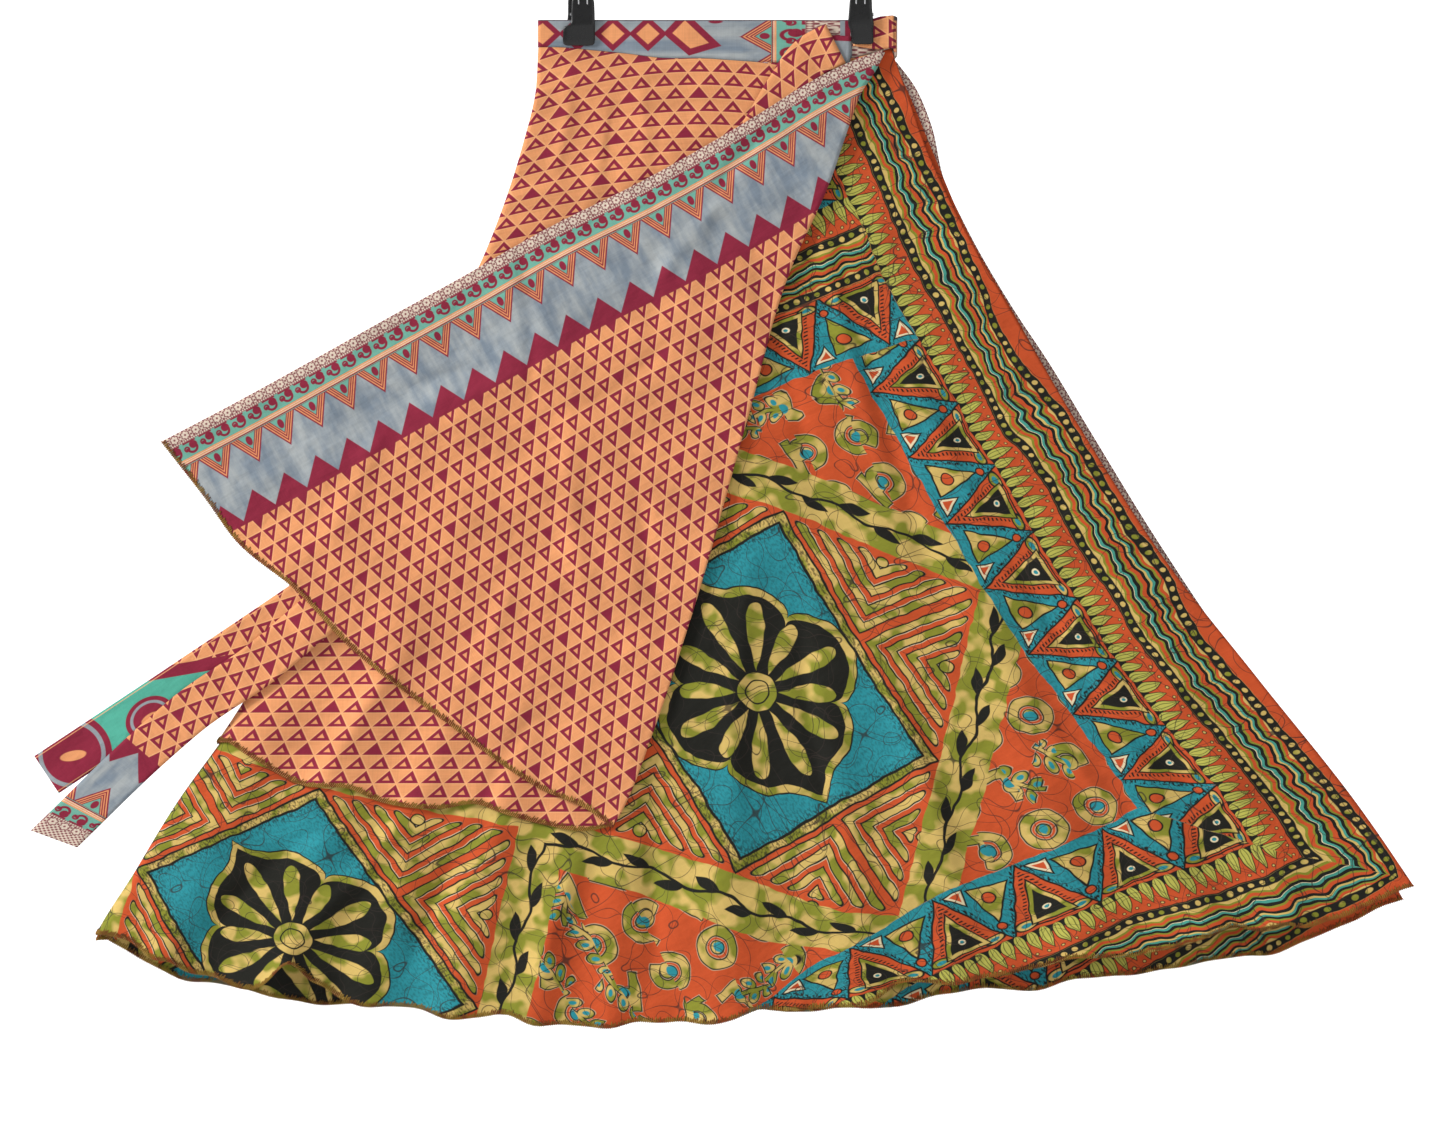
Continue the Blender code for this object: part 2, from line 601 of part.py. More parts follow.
def add_hanger(collection):
    add_wire(collection, "hanger_hook", hook_route(), HOOK_WIRE, "steel")
    bar_z = -HANG + BAR_ABOVE_WAIST
    add_rod(collection, "hanger_bar", BAR_RADIUS, BAR_LENGTH, (0.0, 0.0, bar_z), "steel")
    for clip in CLIPS:
        middle = (clip.grip_front + clip.grip_back) / 2 * MM
        place = (clip.right * MM, -middle, -HANG + CLIP_PIN_ABOVE_WAIST)
        add_rod(collection, f"{clip.name}_pin", CLIP_PIN_RADIUS, CLIP_PIN_LENGTH, place, "steel")
        add_jaw(collection, clip, 1)
        add_jaw(collection, clip, -1)
        add_strap(collection, clip)


def add_skirt(collection):
    add_cloth(collection, "waistband", waistband_surface(), BAND_WALL, "band_cloth")
    add_cloth(collection, "inner_front", inner_front_surface(), PANEL_WALL, "orange_cloth")
    add_cloth(collection, "inner_back", inner_back_surface(), PANEL_WALL, "orange_cloth")
    add_cloth(collection, "outer_front", outer_front_surface(), PANEL_WALL, "peach_cloth")
    add_cloth(collection, "outer_back", outer_back_surface(), PANEL_WALL, "peach_cloth")
    upper = tie_surface(TIE_UPPER, TIE_LIFT_UNDER, end_slant=0.0)
    add_cloth(collection, "tie_upper", upper, TIE_WALL, "tie_cloth")
    lower = tie_surface(TIE_LOWER, TIE_LIFT_OVER, end_slant=-20.0 * MM)
    add_cloth(collection, "tie_lower", lower, TIE_WALL, "tie_cloth")


def main():
    clear_scene()
    collection = bpy.data.collections.new(PART_NAME)
    bpy.context.scene.collection.children.link(collection)
    add_skirt(collection)
    add_hanger(collection)


main()
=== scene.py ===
"""Reversible two-layer wrap skirt, folded in two and held by a clip hanger: its cloth, prints and stage.

The skirt hangs in the XZ plane and faces -Y.  Places on the cloth are given as (right, down): right of
the hanger's middle and down from the waistband's top edge.  A cloth's distance out is measured from the
middle plane towards the front.  The prints are worked out from each cloth's own UV map, in metres on the
flat cloth.
"""

import math
from collections import namedtuple

import bpy
import numpy as np
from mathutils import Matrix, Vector

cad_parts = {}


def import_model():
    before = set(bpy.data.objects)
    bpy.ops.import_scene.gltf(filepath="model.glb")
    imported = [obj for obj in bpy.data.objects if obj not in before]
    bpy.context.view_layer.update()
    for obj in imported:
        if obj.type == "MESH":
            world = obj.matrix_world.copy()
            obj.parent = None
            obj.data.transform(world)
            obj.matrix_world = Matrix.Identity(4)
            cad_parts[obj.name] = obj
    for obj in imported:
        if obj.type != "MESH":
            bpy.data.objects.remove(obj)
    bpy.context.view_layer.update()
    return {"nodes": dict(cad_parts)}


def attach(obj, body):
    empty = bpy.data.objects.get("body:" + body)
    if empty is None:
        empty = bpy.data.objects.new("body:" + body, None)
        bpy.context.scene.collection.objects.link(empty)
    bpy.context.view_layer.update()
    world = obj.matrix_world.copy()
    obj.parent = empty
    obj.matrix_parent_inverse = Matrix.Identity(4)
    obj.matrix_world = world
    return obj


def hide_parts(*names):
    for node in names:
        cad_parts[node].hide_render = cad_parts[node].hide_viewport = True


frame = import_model()

bl_info = {
    "name": "Wrap skirt on a clip hanger",
    "version": (1, 0, 0),
    "blender": (4, 5, 0),
    "location": "View3D > Sidebar > Wrap Skirt",
    "description": "Builds the cloth, prints, stitching and stage of a wrap skirt hung by two clips",
    "category": "Add Mesh",
}

MM = 0.001
TAU = 2 * math.pi

# Sizes shared with the solids
SEAM_GAP = 0.3 * MM
PANEL_WALL = 1.2 * MM
BAND_WALL = 2.7 * MM
TIE_WIDTH = 41.0 * MM
TIE_WALL = 1.0 * MM
SKIRT_LENGTH = 930.0 * MM
INNER_OUT = 1.2 * MM
LAYER_STEP = 1.5 * MM
BAND_OUT = 1.95 * MM
TAB_OUT = 4.95 * MM
HEM_BELLY = 12.0 * MM
BELLY_POWER = 1.5
LAYER_SPREAD = 2.6 * MM
SIDE_ROLL = 9.0 * MM
SIDE_EDGE_OUT = 0.35 * MM
SHORT_SHARE = 0.65
SHORT_SHARE_FADE = 0.25
TIE_LIFT_UNDER = 2.2 * MM
TIE_LIFT_OVER = 4.5 * MM
FLAP_LIFT = 3.8 * MM
FLAP_LIFT_ON_TIES = 7.2 * MM
TIE_SHADOW = 30.0 * MM
TIE_SHADOW_FADE = 70.0 * MM
APEX = np.array((-3.0, -232.0)) * MM
HEM_REACH = 1150.0 * MM
FOLD_GROWTH = 1.3
ROW_SPACING = 1.1
EDGE_FADE = 4
SHORT_FADE = 6
END_FADE = 12
HANG = 110.1 * MM

# Overlock thread: pitch of its turns, steps to a turn, how far it reaches in and past the edge, how high
# it lies and its radius
STITCH_PITCH = 1.8 * MM
STITCH_STEPS = 6
STITCH_DEPTH = 4.8 * MM
STITCH_OVER = 0.45 * MM
STITCH_LIFT = 0.75 * MM
STITCH_RADIUS = 0.58 * MM

# Cloth grids: rows down to the short layer's hem and from there to the long layer's, columns round the
# flap's fold and round the left side, rows and columns of the waistband, and divisions along and across a
# tie; then the steps in which outlines, the ties' routes and the border's edges are worked out
SHORT_ROWS = 112
LONG_ROWS = 48
FOLD_COLUMNS = 12
SIDE_ROLL_COLUMNS = 7
BAND_ROWS = 10
BAND_FRONT_COLUMNS = 150
BAND_BACK_COLUMNS = 90
BAND_TURN_COLUMNS = 17
TAB_COLUMNS = 24
TIE_COLUMNS = 240
TIE_ACROSS = 12
OUTLINE_STEPS = 900
ROUTE_STEPS = 60
EDGE_STEPS = 80

# Outlines in millimetres, right and down
LEFT_SIDE = ((-168, 25), (-171, 69), (-181, 110), (-195, 156), (-212, 202), (-267, 313),
             (-350, 469), (-459, 658), (-501, 718), (-544, 791), (-575, 845))
FREE_EDGE = ((157, 26), (171, 66), (188, 115), (221, 186), (268, 269), (335, 382),
             (409, 497), (495, 607), (583, 718), (637, 795))
BACK_FREE_EDGE = ((160, 38), (176, 74), (197, 125), (225, 190), (270, 270), (336, 384),
                  (409, 500), (493, 611), (578, 724), (629, 808))
BACK_SHORT_EDGE = ((162, 38), (179, 61), (194, 96), (206, 147), (224, 186), (268, 263),
                   (303, 316), (341, 379), (407, 486), (478, 589), (550, 673))
FOLD_LINE = ((151, 30), (143, 46), (130, 66), (118, 98), (102, 145), (62, 236),
             (25, 366), (-27, 549), (-61, 652), (-92, 730), (-99, 742))
FLAP_EDGE = ((143, 30), (124, 37), (73, 63), (40, 84), (-3, 110), (-71, 148),
             (-161, 193), (-242, 239), (-309, 276), (-375, 313), (-442, 350), (-514, 388))
FRONT_HEM = ((-575, 845), (-488, 876), (-387, 894), (-276, 909), (-148, 922), (-19, 918),
             (110, 905), (220, 883), (331, 867), (441, 848), (552, 830), (637, 795))
BACK_HEM = ((-575, 845), (-516, 876), (-460, 889), (-396, 900), (-295, 905), (-148, 913),
            (0, 911), (128, 908), (220, 894), (298, 886), (441, 867), (524, 852), (629, 808))
SHORT_HEM = ((-462, 664), (-431, 682), (-385, 704), (-345, 706), (-312, 719), (-258, 725),
             (-223, 721), (-198, 730), (-161, 740), (-123, 746), (-99, 742))
BACK_SHORT_HEM = ((-462, 664), (-387, 708), (-276, 738), (-148, 759), (0, 769), (147, 762),
                  (294, 742), (423, 713), (550, 673))
FLAP_HEM = ((-99, 742), (-123, 725), (-161, 709), (-201, 684), (-246, 650), (-288, 619),
            (-340, 577), (-387, 527), (-446, 478), (-472, 442), (-514, 388))
FRONT_BAND_FOOT = ((-168, 25), (-148, 25), (-115, 28), (-85, 31), (-51, 35), (-19, 35),
                   (12, 37), (45, 39), (100, 38), (135, 32), (157, 26))
BACK_BAND_FOOT = ((-168, 25), (-120, 31), (-60, 36), (162, 38))
TIE_UPPER = ((100, 14), (98, 42), (86, 78), (46, 138), (-28, 228), (-120, 322), (-221, 414),
             (-313, 488), (-396, 545), (-497, 613), (-619, 694))
TIE_LOWER = ((106, 22), (84, 34), (62, 64), (42, 98), (-19, 179), (-111, 290), (-203, 391),
             (-295, 483), (-378, 554), (-419, 589), (-488, 637), (-516, 661), (-612, 753))

# Large folds: angle from straight down and half width in degrees, how far the ridge stands out and how
# much lower the hem hangs there in millimetres, and where along the way down it starts
Fold = namedtuple("Fold", "angle half_width out drop start")
FRONT_FOLDS = [Fold(*row) for row in (
    (-25.0, 1.5, 10.0, 5.0, 0.64), (-20.2, 1.7, 12.0, 6.0, 0.60), (-16.0, 1.2, 9.0, 4.0, 0.68),
    (-12.0, 1.5, 12.0, 5.0, 0.62), (-8.1, 1.1, 9.0, 4.0, 0.70), (-5.0, 1.0, 8.0, 5.0, 0.70),
    (0.2, 1.8, 12.0, 6.0, 0.58), (6.6, 1.5, 11.0, 6.0, 0.55), (11.3, 1.2, 8.0, 3.0, 0.58),
    (17.6, 1.6, 10.0, 3.0, 0.45), (22.6, 1.2, 9.0, 3.0, 0.60), (26.6, 1.2, 8.0, 3.0, 0.55))]
BACK_FOLDS = [Fold(*row) for row in (
    (-24.0, 1.4, 9.0, 3.0, 0.50), (-18.2, 1.8, 12.0, 4.0, 0.38), (-13.6, 1.1, 8.0, 3.0, 0.60),
    (-9.4, 1.3, 10.0, 4.0, 0.52), (-2.6, 1.7, 12.0, 5.0, 0.42), (3.4, 1.2, 9.0, 3.0, 0.60),
    (8.6, 1.5, 11.0, 5.0, 0.46), (14.4, 1.3, 9.0, 6.0, 0.56), (19.8, 1.6, 10.0, 4.0, 0.45),
    (25.4, 1.3, 8.0, 3.0, 0.58))]

# Creases, given one by one: middle (right, down) and run (how far it reaches right and down) in
# millimetres, half width and height in millimetres; a trough has a negative height
Crease = namedtuple("Crease", "right down run_right run_down half_width height")
CREASE_RELIEF = 2.4
FRONT_CREASES = [Crease(*row) for row in (
    (-146, 95, -8, 60, 7, 0.9), (-98, 125, -8, 60, 6, -0.8), (-72, 90, -5, 50, 8, 0.7),
    (-30, 100, 4, 60, 9, -0.6), (-120, 150, -18, 95, 7, 0.5), (-60, 210, -10, 120, 9, -0.6),
    (-10, 180, -30, 90, 8, 0.6), (60, 330, 30, 150, 10, -1.2), (120, 300, 45, 150, 9, 1.4),
    (170, 420, 60, 170, 11, -1.6), (240, 450, 90, 170, 9, 1.5), (300, 560, 80, 120, 10, -1.8),
    (20, 620, -5, 160, 12, 2.0), (90, 660, 20, 140, 9, -1.8), (180, 690, 40, 130, 10, 2.0),
    (330, 690, 70, 110, 9, 1.8), (430, 700, 90, 90, 9, -1.8), (-60, 800, -8, 90, 9, -2.2),
    (-150, 830, -16, 70, 10, 2.4), (-250, 800, -40, 80, 10, -2.4), (-340, 790, -60, 80, 9, 2.4),
    (-420, 790, -70, 70, 9, -2.0), (-330, 640, -70, 90, 10, 1.6), (-200, 690, -25, 60, 9, -1.6))]
FLAP_CREASES = [Crease(*row) for row in (
    (-178, 275, 4, 95, 5, -1.3), (-30, 210, -45, 60, 8, 1.1), (-90, 330, -60, 40, 9, -1.2),
    (-250, 330, -50, 12, 6, -1.2), (-240, 345, -60, 16, 6, 1.0), (-330, 420, -40, 60, 9, 1.2),
    (-130, 470, 10, 110, 10, 1.3), (-60, 520, 15, 120, 9, -1.2), (-210, 560, -40, 70, 9, 1.2),
    (20, 130, -40, 50, 7, -0.9))]
BACK_CREASES = [Crease(*row) for row in (
    (-110, 190, -20, 100, 9, 0.6), (-30, 260, -5, 130, 10, -1.0), (60, 300, 20, 120, 9, 1.2),
    (150, 380, 50, 150, 10, -1.4), (-160, 480, -40, 130, 10, 1.5), (-40, 560, -8, 140, 11, -1.6),
    (80, 600, 20, 150, 10, 1.8), (230, 580, 70, 140, 10, -1.8), (360, 690, 80, 100, 9, 1.8),
    (-260, 720, -60, 100, 10, -2.0), (-120, 800, -16, 90, 9, 2.0), (120, 800, 20, 90, 9, -2.0),
    (-400, 790, -70, 70, 9, 1.8))]

# Heights of the small waves along a hem, downwards and outwards, and the share of the way down where they
# and the stretches that are caught up start
HEM_RIPPLE = 1.3 * MM
HEM_FLUTTER = 1.8 * MM
FLUTTER_START = 0.93
LIFT_START = 0.9

# Where the front hem is caught up, in millimetres: place, how far up, half width and how far out
HEM_LIFTS = (
    (-548, 9, 26, 3), (-506, 7, 13, 4), (-396, 30, 21, 9), (-366, 8, 12, 5), (-196, 6, 22, 3),
    (30, 7, 26, 4), (170, 9, 30, 4), (330, 8, 24, 4), (462, 12, 26, 6), (520, 8, 16, 4))

# Waves along a hem: how many over it, share of the height, and phase; back, then front
HEM_WAVES = (
    ((17.0, 0.6, 0.4), (29.0, 0.4, 1.9), (7.0, 0.5, 0.9)),
    ((19.0, 0.6, 1.1), (31.0, 0.4, 0.2), (6.0, 0.5, 2.2)),
)

# Waistband's lapped end, in millimetres: where along it, its top edge and its bottom edge
TabRow = namedtuple("TabRow", "right top foot")
TAB = (TabRow(122, 2, 24), TabRow(134, 1, 26), TabRow(147, -3, 27.5), TabRow(158, -4, 26))
BACK_BAND_END = TabRow(158, 0, 38)
FRONT_BAND_END = 156.0 * MM


def unit(vectors):
    """Each row scaled to length 1."""
    return vectors / np.linalg.norm(vectors, axis=1)[:, None]


def length_along(line):
    """How far each point lies from the first one, along a line of points."""
    return np.concatenate(([0.0], np.cumsum(np.linalg.norm(np.diff(line, axis=0), axis=1))))


def line_directions(line):
    """Unit vectors along a line on the cloth, and across it to the right where it runs downwards."""
    along = unit(np.gradient(line, axis=0))
    return along, np.column_stack((along[:, 1], -along[:, 0]))


def smoothstep(t):
    """0 below 0, 1 above 1, and a soft S between."""
    t = np.clip(t, 0.0, 1.0)
    return t * t * (3 - 2 * t)


def smooth_curve(rows, fractions):
    """Points at fractions of the length of a smooth curve: a cubic from each row to the next."""
    points = np.array(rows, float) * MM
    chord = length_along(points)
    slopes = np.gradient(points, chord, axis=0)
    fine = np.linspace(0.0, chord[-1], OUTLINE_STEPS)
    first = np.clip(np.searchsorted(chord, fine, side="right") - 1, 0, len(rows) - 2)
    span = (chord[first + 1] - chord[first])[:, None]
    t = (fine - chord[first])[:, None] / span
    line = points[first] * (2 * t**3 - 3 * t**2 + 1)
    line += points[first + 1] * (3 * t**2 - 2 * t**3)
    line += slopes[first] * span * (t**3 - 2 * t**2 + t)
    line += slopes[first + 1] * span * (t**3 - t**2)
    run = length_along(line)
    place = np.asarray(fractions) * run[-1]
    return np.column_stack([np.interp(place, run, line[:, axis]) for axis in (0, 1)])


def height_at(rows, right):
    """How far down an outline lies at each place to the right."""
    line = smooth_curve(rows, np.linspace(0.0, 1.0, OUTLINE_STEPS))
    order = np.argsort(line[:, 0])
    return np.interp(right, line[order, 0], line[order, 1])


def cut_at(rows, down):
    """An outline that runs downwards, as a fraction of its length at a given depth."""
    fractions = np.linspace(0.0, 1.0, OUTLINE_STEPS)
    return np.interp(down, smooth_curve(rows, fractions)[:, 1], fractions)


def fill_patch(top, foot, left, right, across, down):
    """Blend of the two sides plus blend of the two ends, less the blend of the four corners."""
    u = across[None, :, None]
    v = down[:, None, None]
    sides = (1 - u) * left[:, None] + u * right[:, None]
    ends = (1 - v) * top[None] + v * foot[None]
    upper = (1 - u) * top[0] + u * top[-1]
    lower = (1 - u) * foot[0] + u * foot[-1]
    return sides + ends - (1 - v) * upper - v * lower


def depth_share(place):
    """0 at the waist and 1 at the hem."""
    return np.clip(place[..., 1] / SKIRT_LENGTH, 0.0, 1.0)


def fold_weights(place, fold):
    """A ridge along a ray from the apex: bell across, growing from its start to the hem."""
    offset = place - APEX
    angle = np.degrees(np.arctan2(offset[..., 0], offset[..., 1]))
    reach = np.hypot(offset[..., 0], offset[..., 1]) / HEM_REACH
    bell = np.exp(-((angle - fold.angle) / fold.half_width) ** 2)
    return bell * np.clip((reach - fold.start) / (1 - fold.start), 0.0, 1.2) ** FOLD_GROWTH


def ridges(place, folds):
    """How far the folds stand out."""
    return sum(fold.out * MM * fold_weights(place, fold) for fold in folds)


def creases(place, table):
    """Soft troughs and ridges: a bell across each crease's run times a bell along it."""
    height = np.zeros(place.shape[:-1])
    for crease in table:
        run = np.array((crease.run_right, crease.run_down)) * MM
        reach = np.linalg.norm(run)
        offset = place - np.array((crease.right, crease.down)) * MM
        along = offset @ (run / reach) / reach
        away = (offset[..., 0] * run[1] - offset[..., 1] * run[0]) / reach / (crease.half_width * MM)
        away = away + 0.6 * np.sin(2.3 * along + crease.right)
        height += CREASE_RELIEF * crease.height * MM * np.exp(-away**2) * np.exp(-((along / 0.8) ** 4))
    return height


def hang_lower(place, folds):
    """The same places, with the hem a little lower at each ridge."""
    drop = sum(fold.drop * MM * fold_weights(place, fold) for fold in folds)
    return np.stack([place[..., 0], place[..., 1] + drop], axis=-1)


def inner_out(place, folds):
    """Distance from the middle plane to the inner layer's centre line."""
    table = FRONT_CREASES if folds is FRONT_FOLDS else BACK_CREASES
    fade = smoothstep(depth_share(place) / 0.1)
    out = INNER_OUT + HEM_BELLY * depth_share(place) ** BELLY_POWER + ridges(place, folds)
    return np.maximum(out + creases(place, table) * fade, 0.7 * INNER_OUT)


def layer_gap(place):
    """Distance from the inner layer's centre line to the outer layer's."""
    return LAYER_STEP + LAYER_SPREAD * depth_share(place)


def outer_out(place, folds):
    """Distance from the middle plane to the outer layer's centre line."""
    return inner_out(place, folds) + layer_gap(place)


def roll_width(place):
    """How wide the inner layer's quarter turn is at the left side fold."""
    return INNER_OUT + SIDE_ROLL * depth_share(place)


def fold_centres(down):
    """Centre of the left side fold, which both layers turn round."""
    side = smooth_curve(LEFT_SIDE, down)
    fade = 1 - smoothstep((depth_share(side) - SHORT_SHARE) / SHORT_SHARE_FADE)
    wide = PANEL_WALL / 2 + roll_width(side) + layer_gap(side) * fade
    return side + np.column_stack((wide, np.zeros(len(wide))))


def with_side_roll(place, out, turn):
    """Adds a quarter turn at the left: an ellipse from the first column down to the middle plane."""
    angles = np.linspace(0.0, math.pi / 2, SIDE_ROLL_COLUMNS, endpoint=False)[None, :]
    start = place[:, :1]
    right = start[..., 0] - turn[:, None] * np.cos(angles)
    down = np.repeat(start[..., 1], SIDE_ROLL_COLUMNS, axis=1)
    edge_out = SIDE_EDGE_OUT + (out[:, :1] - SIDE_EDGE_OUT) * np.sin(angles)
    return np.concatenate((np.stack((right, down), axis=-1), place), axis=1), np.hstack((edge_out, out))


def world(place, out):
    """Places on the cloth as points in space."""
    return np.stack((place[..., 0], -out, -HANG - place[..., 1]), axis=-1)


def levels(whole_length):
    """Rows as fractions of the left side, down to the short layer's hem or the long layer's."""
    short_end = cut_at(LEFT_SIDE, SHORT_HEM[0][1] * MM)
    short = np.linspace(0.0, 1.0, SHORT_ROWS + 1) ** ROW_SPACING * short_end
    below = np.linspace(short_end, 1.0, LONG_ROWS + 1)[1:]
    return np.concatenate((short, below)) if whole_length else short


def hem_flutter(out, down, across, height, waves):
    """Small waves that run along the last stretch above a hem: their sum fades out upwards."""
    fade = np.clip((down[:, None] - FLUTTER_START) / (1 - FLUTTER_START), 0.0, 1.0) ** 2
    wave = sum(share * np.sin(TAU * count * across + phase) for count, share, phase in waves)
    return out + height * fade * wave[None, :]


def lift_hem(place, down):
    """Short stretches where the front hem is caught up and stands out: bells across that fade upwards."""
    fade = np.clip((down[:, None] - LIFT_START) / (1 - LIFT_START), 0.0, 1.0) ** 2
    right, up, half_width, out = (np.array(HEM_LIFTS) * MM).T[:, :, None, None]
    bells = np.exp(-((place[None, ..., 0] - right) / half_width) ** 2) * fade[None]
    raised = place - np.stack((np.zeros(place.shape[:2]), (bells * up).sum(axis=0)), axis=-1)
    return raised, (bells * out).sum(axis=0)


def sewn_patch(left, right, foot_rows, band_rows, across, down):
    """A patch from a left to a right side.  Its top runs along the waistband's foot, and the sides and
    the lower outline are drawn to its corners."""
    top_right = np.linspace(left[0, 0], right[0, 0], len(across))
    top = np.column_stack((top_right, height_at(band_rows, top_right) + SEAM_GAP))
    foot = smooth_curve(foot_rows, across)
    foot[:, 0] += (left[-1, 0] - foot[0, 0]) * (1 - across) ** EDGE_FADE
    foot += (right[-1] - foot[-1]) * across[:, None] ** EDGE_FADE
    left_down = left[:, 1] + (top[0, 1] - left[0, 1]) * (1 - down)
    right_down = right[:, 1] + (top[-1, 1] - right[0, 1]) * (1 - down) ** SHORT_FADE
    left = np.column_stack((left[:, 0], left_down))
    right = np.column_stack((right[:, 0], right_down))
    return fill_patch(top, foot, left, right, across, down)


def skirt_panel(foot_rows, edge_rows, band_rows, folds, layer, columns):
    """One half of a layer, from the left side fold to its free edge."""
    out_of, turn_of, whole_length = layer
    across = np.linspace(0.0, 1.0, columns + 1)
    side = levels(whole_length)
    down = side / side[-1]
    right = smooth_curve(edge_rows, down)
    place = sewn_patch(fold_centres(side), right, foot_rows, band_rows, across, down)
    place = hang_lower(place, folds)
    waves = HEM_WAVES[folds is FRONT_FOLDS]
    place[..., 1] = hem_flutter(place[..., 1], down, across, HEM_RIPPLE, waves)
    lifted = 0.0
    if folds is FRONT_FOLDS:
        place, lifted = lift_hem(place, down)
    out = hem_flutter(out_of(place, folds), down, across, HEM_FLUTTER, waves) + lifted
    return with_side_roll(place, out, turn_of(place[:, 0]))


def outer_turn(place):
    """How wide the outer layer's quarter turn is at the left side fold."""
    return roll_width(place) + layer_gap(place)


INNER_LAYER = (inner_out, roll_width, True)
OUTER_LAYER = (outer_out, outer_turn, False)


def tie_cover(place):
    """1 over the ties and 0 well away from them."""
    share = np.linspace(0.0, 1.0, ROUTE_STEPS)
    route = np.concatenate([smooth_curve(rows, share) for rows in (TIE_UPPER, TIE_LOWER)])
    away = np.linalg.norm(place[..., None, :] - route, axis=-1).min(axis=-1)
    return 1 - smoothstep((away - TIE_SHADOW) / TIE_SHADOW_FADE)


def flap_lift(place):
    """Distance from the outer layer's front to the flap that is turned back over it."""
    return FLAP_LIFT + (FLAP_LIFT_ON_TIES - FLAP_LIFT) * tie_cover(place)


def outer_front_surface(body_columns, flap_columns):
    """The short front, its fold at the right and the flap turned back to the left, as one sheet."""
    side = levels(whole_length=False)
    down = side / side[-1]
    fold = smooth_curve(FOLD_LINE, down)
    outward = line_directions(fold)[1]
    radius = flap_lift(fold) / 2
    inside = fold - outward * radius[:, None]

    across = np.linspace(0.0, 1.0, body_columns + 1)
    body = sewn_patch(fold_centres(side), inside, SHORT_HEM, FRONT_BAND_FOOT, across, down)
    body_place, body_out = with_side_roll(body, outer_out(body, FRONT_FOLDS), outer_turn(body[:, 0]))

    across = np.linspace(0.0, 1.0, flap_columns + 1)
    free = smooth_curve(FLAP_EDGE, down)
    top = inside[0] + (free[0] - inside[0]) * across[:, None]
    foot = smooth_curve(FLAP_HEM, across)
    foot += (inside[-1] - foot[0]) * (1 - across[:, None]) ** EDGE_FADE
    flap = fill_patch(top, foot, inside, free, across, down)
    fade = smoothstep(across / 0.15)[None]
    flap_out = outer_out(flap, FRONT_FOLDS) + flap_lift(flap) + creases(flap, FLAP_CREASES) * fade

    turns = np.linspace(-math.pi / 2, math.pi / 2, FOLD_COLUMNS + 1)[1:-1]
    low = body_out[:, -1:]
    high = flap_out[:, :1]
    share = np.linspace(0.0, 1.0, FOLD_COLUMNS + 1)[1:-1][None, :, None]
    middle = body_place[:, -1:] * (1 - share) + flap[:, :1] * share
    bend = middle + (outward * radius[:, None])[:, None] * np.cos(turns)[None, :, None]
    bend_out = (low + high) / 2 + (high - low) / 2 * np.sin(turns)[None]
    place = np.concatenate((body_place, bend, flap), axis=1)
    return place, np.hstack((body_out, bend_out, flap_out)), body_place.shape[1] + FOLD_COLUMNS - 1


def tie_surface(rows, lift, end_slant):
    """A flat strap along its route, on the outer layer's front and under the flap, and its length."""
    share = np.linspace(0.0, 1.0, TIE_COLUMNS + 1)
    middle = smooth_curve(rows, share)
    along, side = line_directions(middle)
    halves = np.linspace(-0.5, 0.5, TIE_ACROSS + 1)
    place = middle[:, None] + side[:, None] * TIE_WIDTH * halves[None, :, None]
    slant = along[:, None] * end_slant * halves[None, :, None]
    place = place + slant * share[:, None, None] ** END_FADE
    reach = float(length_along(place[:, TIE_ACROSS // 2])[-1])
    return place, outer_out(place, FRONT_FOLDS) + lift, reach


def band_surface():
    """The waistband's route seen from above, and its top and bottom edge at each place along it."""
    left_turn_right = FRONT_BAND_FOOT[0][0] * MM + BAND_WALL / 2 + BAND_OUT
    turn = np.linspace(0.0, math.pi, BAND_TURN_COLUMNS)
    front_right = np.linspace(FRONT_BAND_END, left_turn_right, BAND_FRONT_COLUMNS)[:-1]
    back_right = np.linspace(left_turn_right, BACK_BAND_END.right * MM, BAND_BACK_COLUMNS)[1:-1]
    end_radius = (TAB_OUT + BAND_OUT) / 2
    tab_right = np.linspace(TAB[-1].right, TAB[0].right, TAB_COLUMNS)[1:] * MM
    right = np.concatenate((front_right,
                            left_turn_right - BAND_OUT * np.sin(turn),
                            back_right,
                            BACK_BAND_END.right * MM + end_radius * np.sin(turn),
                            tab_right))
    out = np.concatenate((np.full(len(front_right), BAND_OUT),
                          BAND_OUT * np.cos(turn),
                          np.full(len(back_right), -BAND_OUT),
                          (TAB_OUT - BAND_OUT) / 2 - end_radius * np.cos(turn),
                          np.full(len(tab_right), TAB_OUT)))
    turned = turn / math.pi
    tab_place = np.array([row.right for row in TAB]) * MM
    tab_top = np.interp(tab_right, tab_place, np.array([row.top for row in TAB]) * MM)
    tab_foot = np.interp(tab_right, tab_place, np.array([row.foot for row in TAB]) * MM)
    straight = len(front_right) + len(turn) + len(back_right)
    top = np.concatenate((np.zeros(straight), TAB[-1].top * MM * turned, tab_top))
    back_end = BACK_BAND_END.foot * MM
    foot = np.concatenate((height_at(FRONT_BAND_FOOT, front_right),
                           np.full(len(turn), FRONT_BAND_FOOT[0][1] * MM),
                           height_at(BACK_BAND_FOOT, back_right),
                           back_end + (TAB[-1].foot * MM - back_end) * turned,
                           tab_foot))
    share = np.linspace(0.0, 1.0, BAND_ROWS + 1)[:, None]
    down = top[None] * (1 - share) + foot[None] * share
    right = np.repeat(right[None], BAND_ROWS + 1, axis=0)
    return np.stack((right, down), axis=-1), np.repeat(out[None], BAND_ROWS + 1, axis=0)


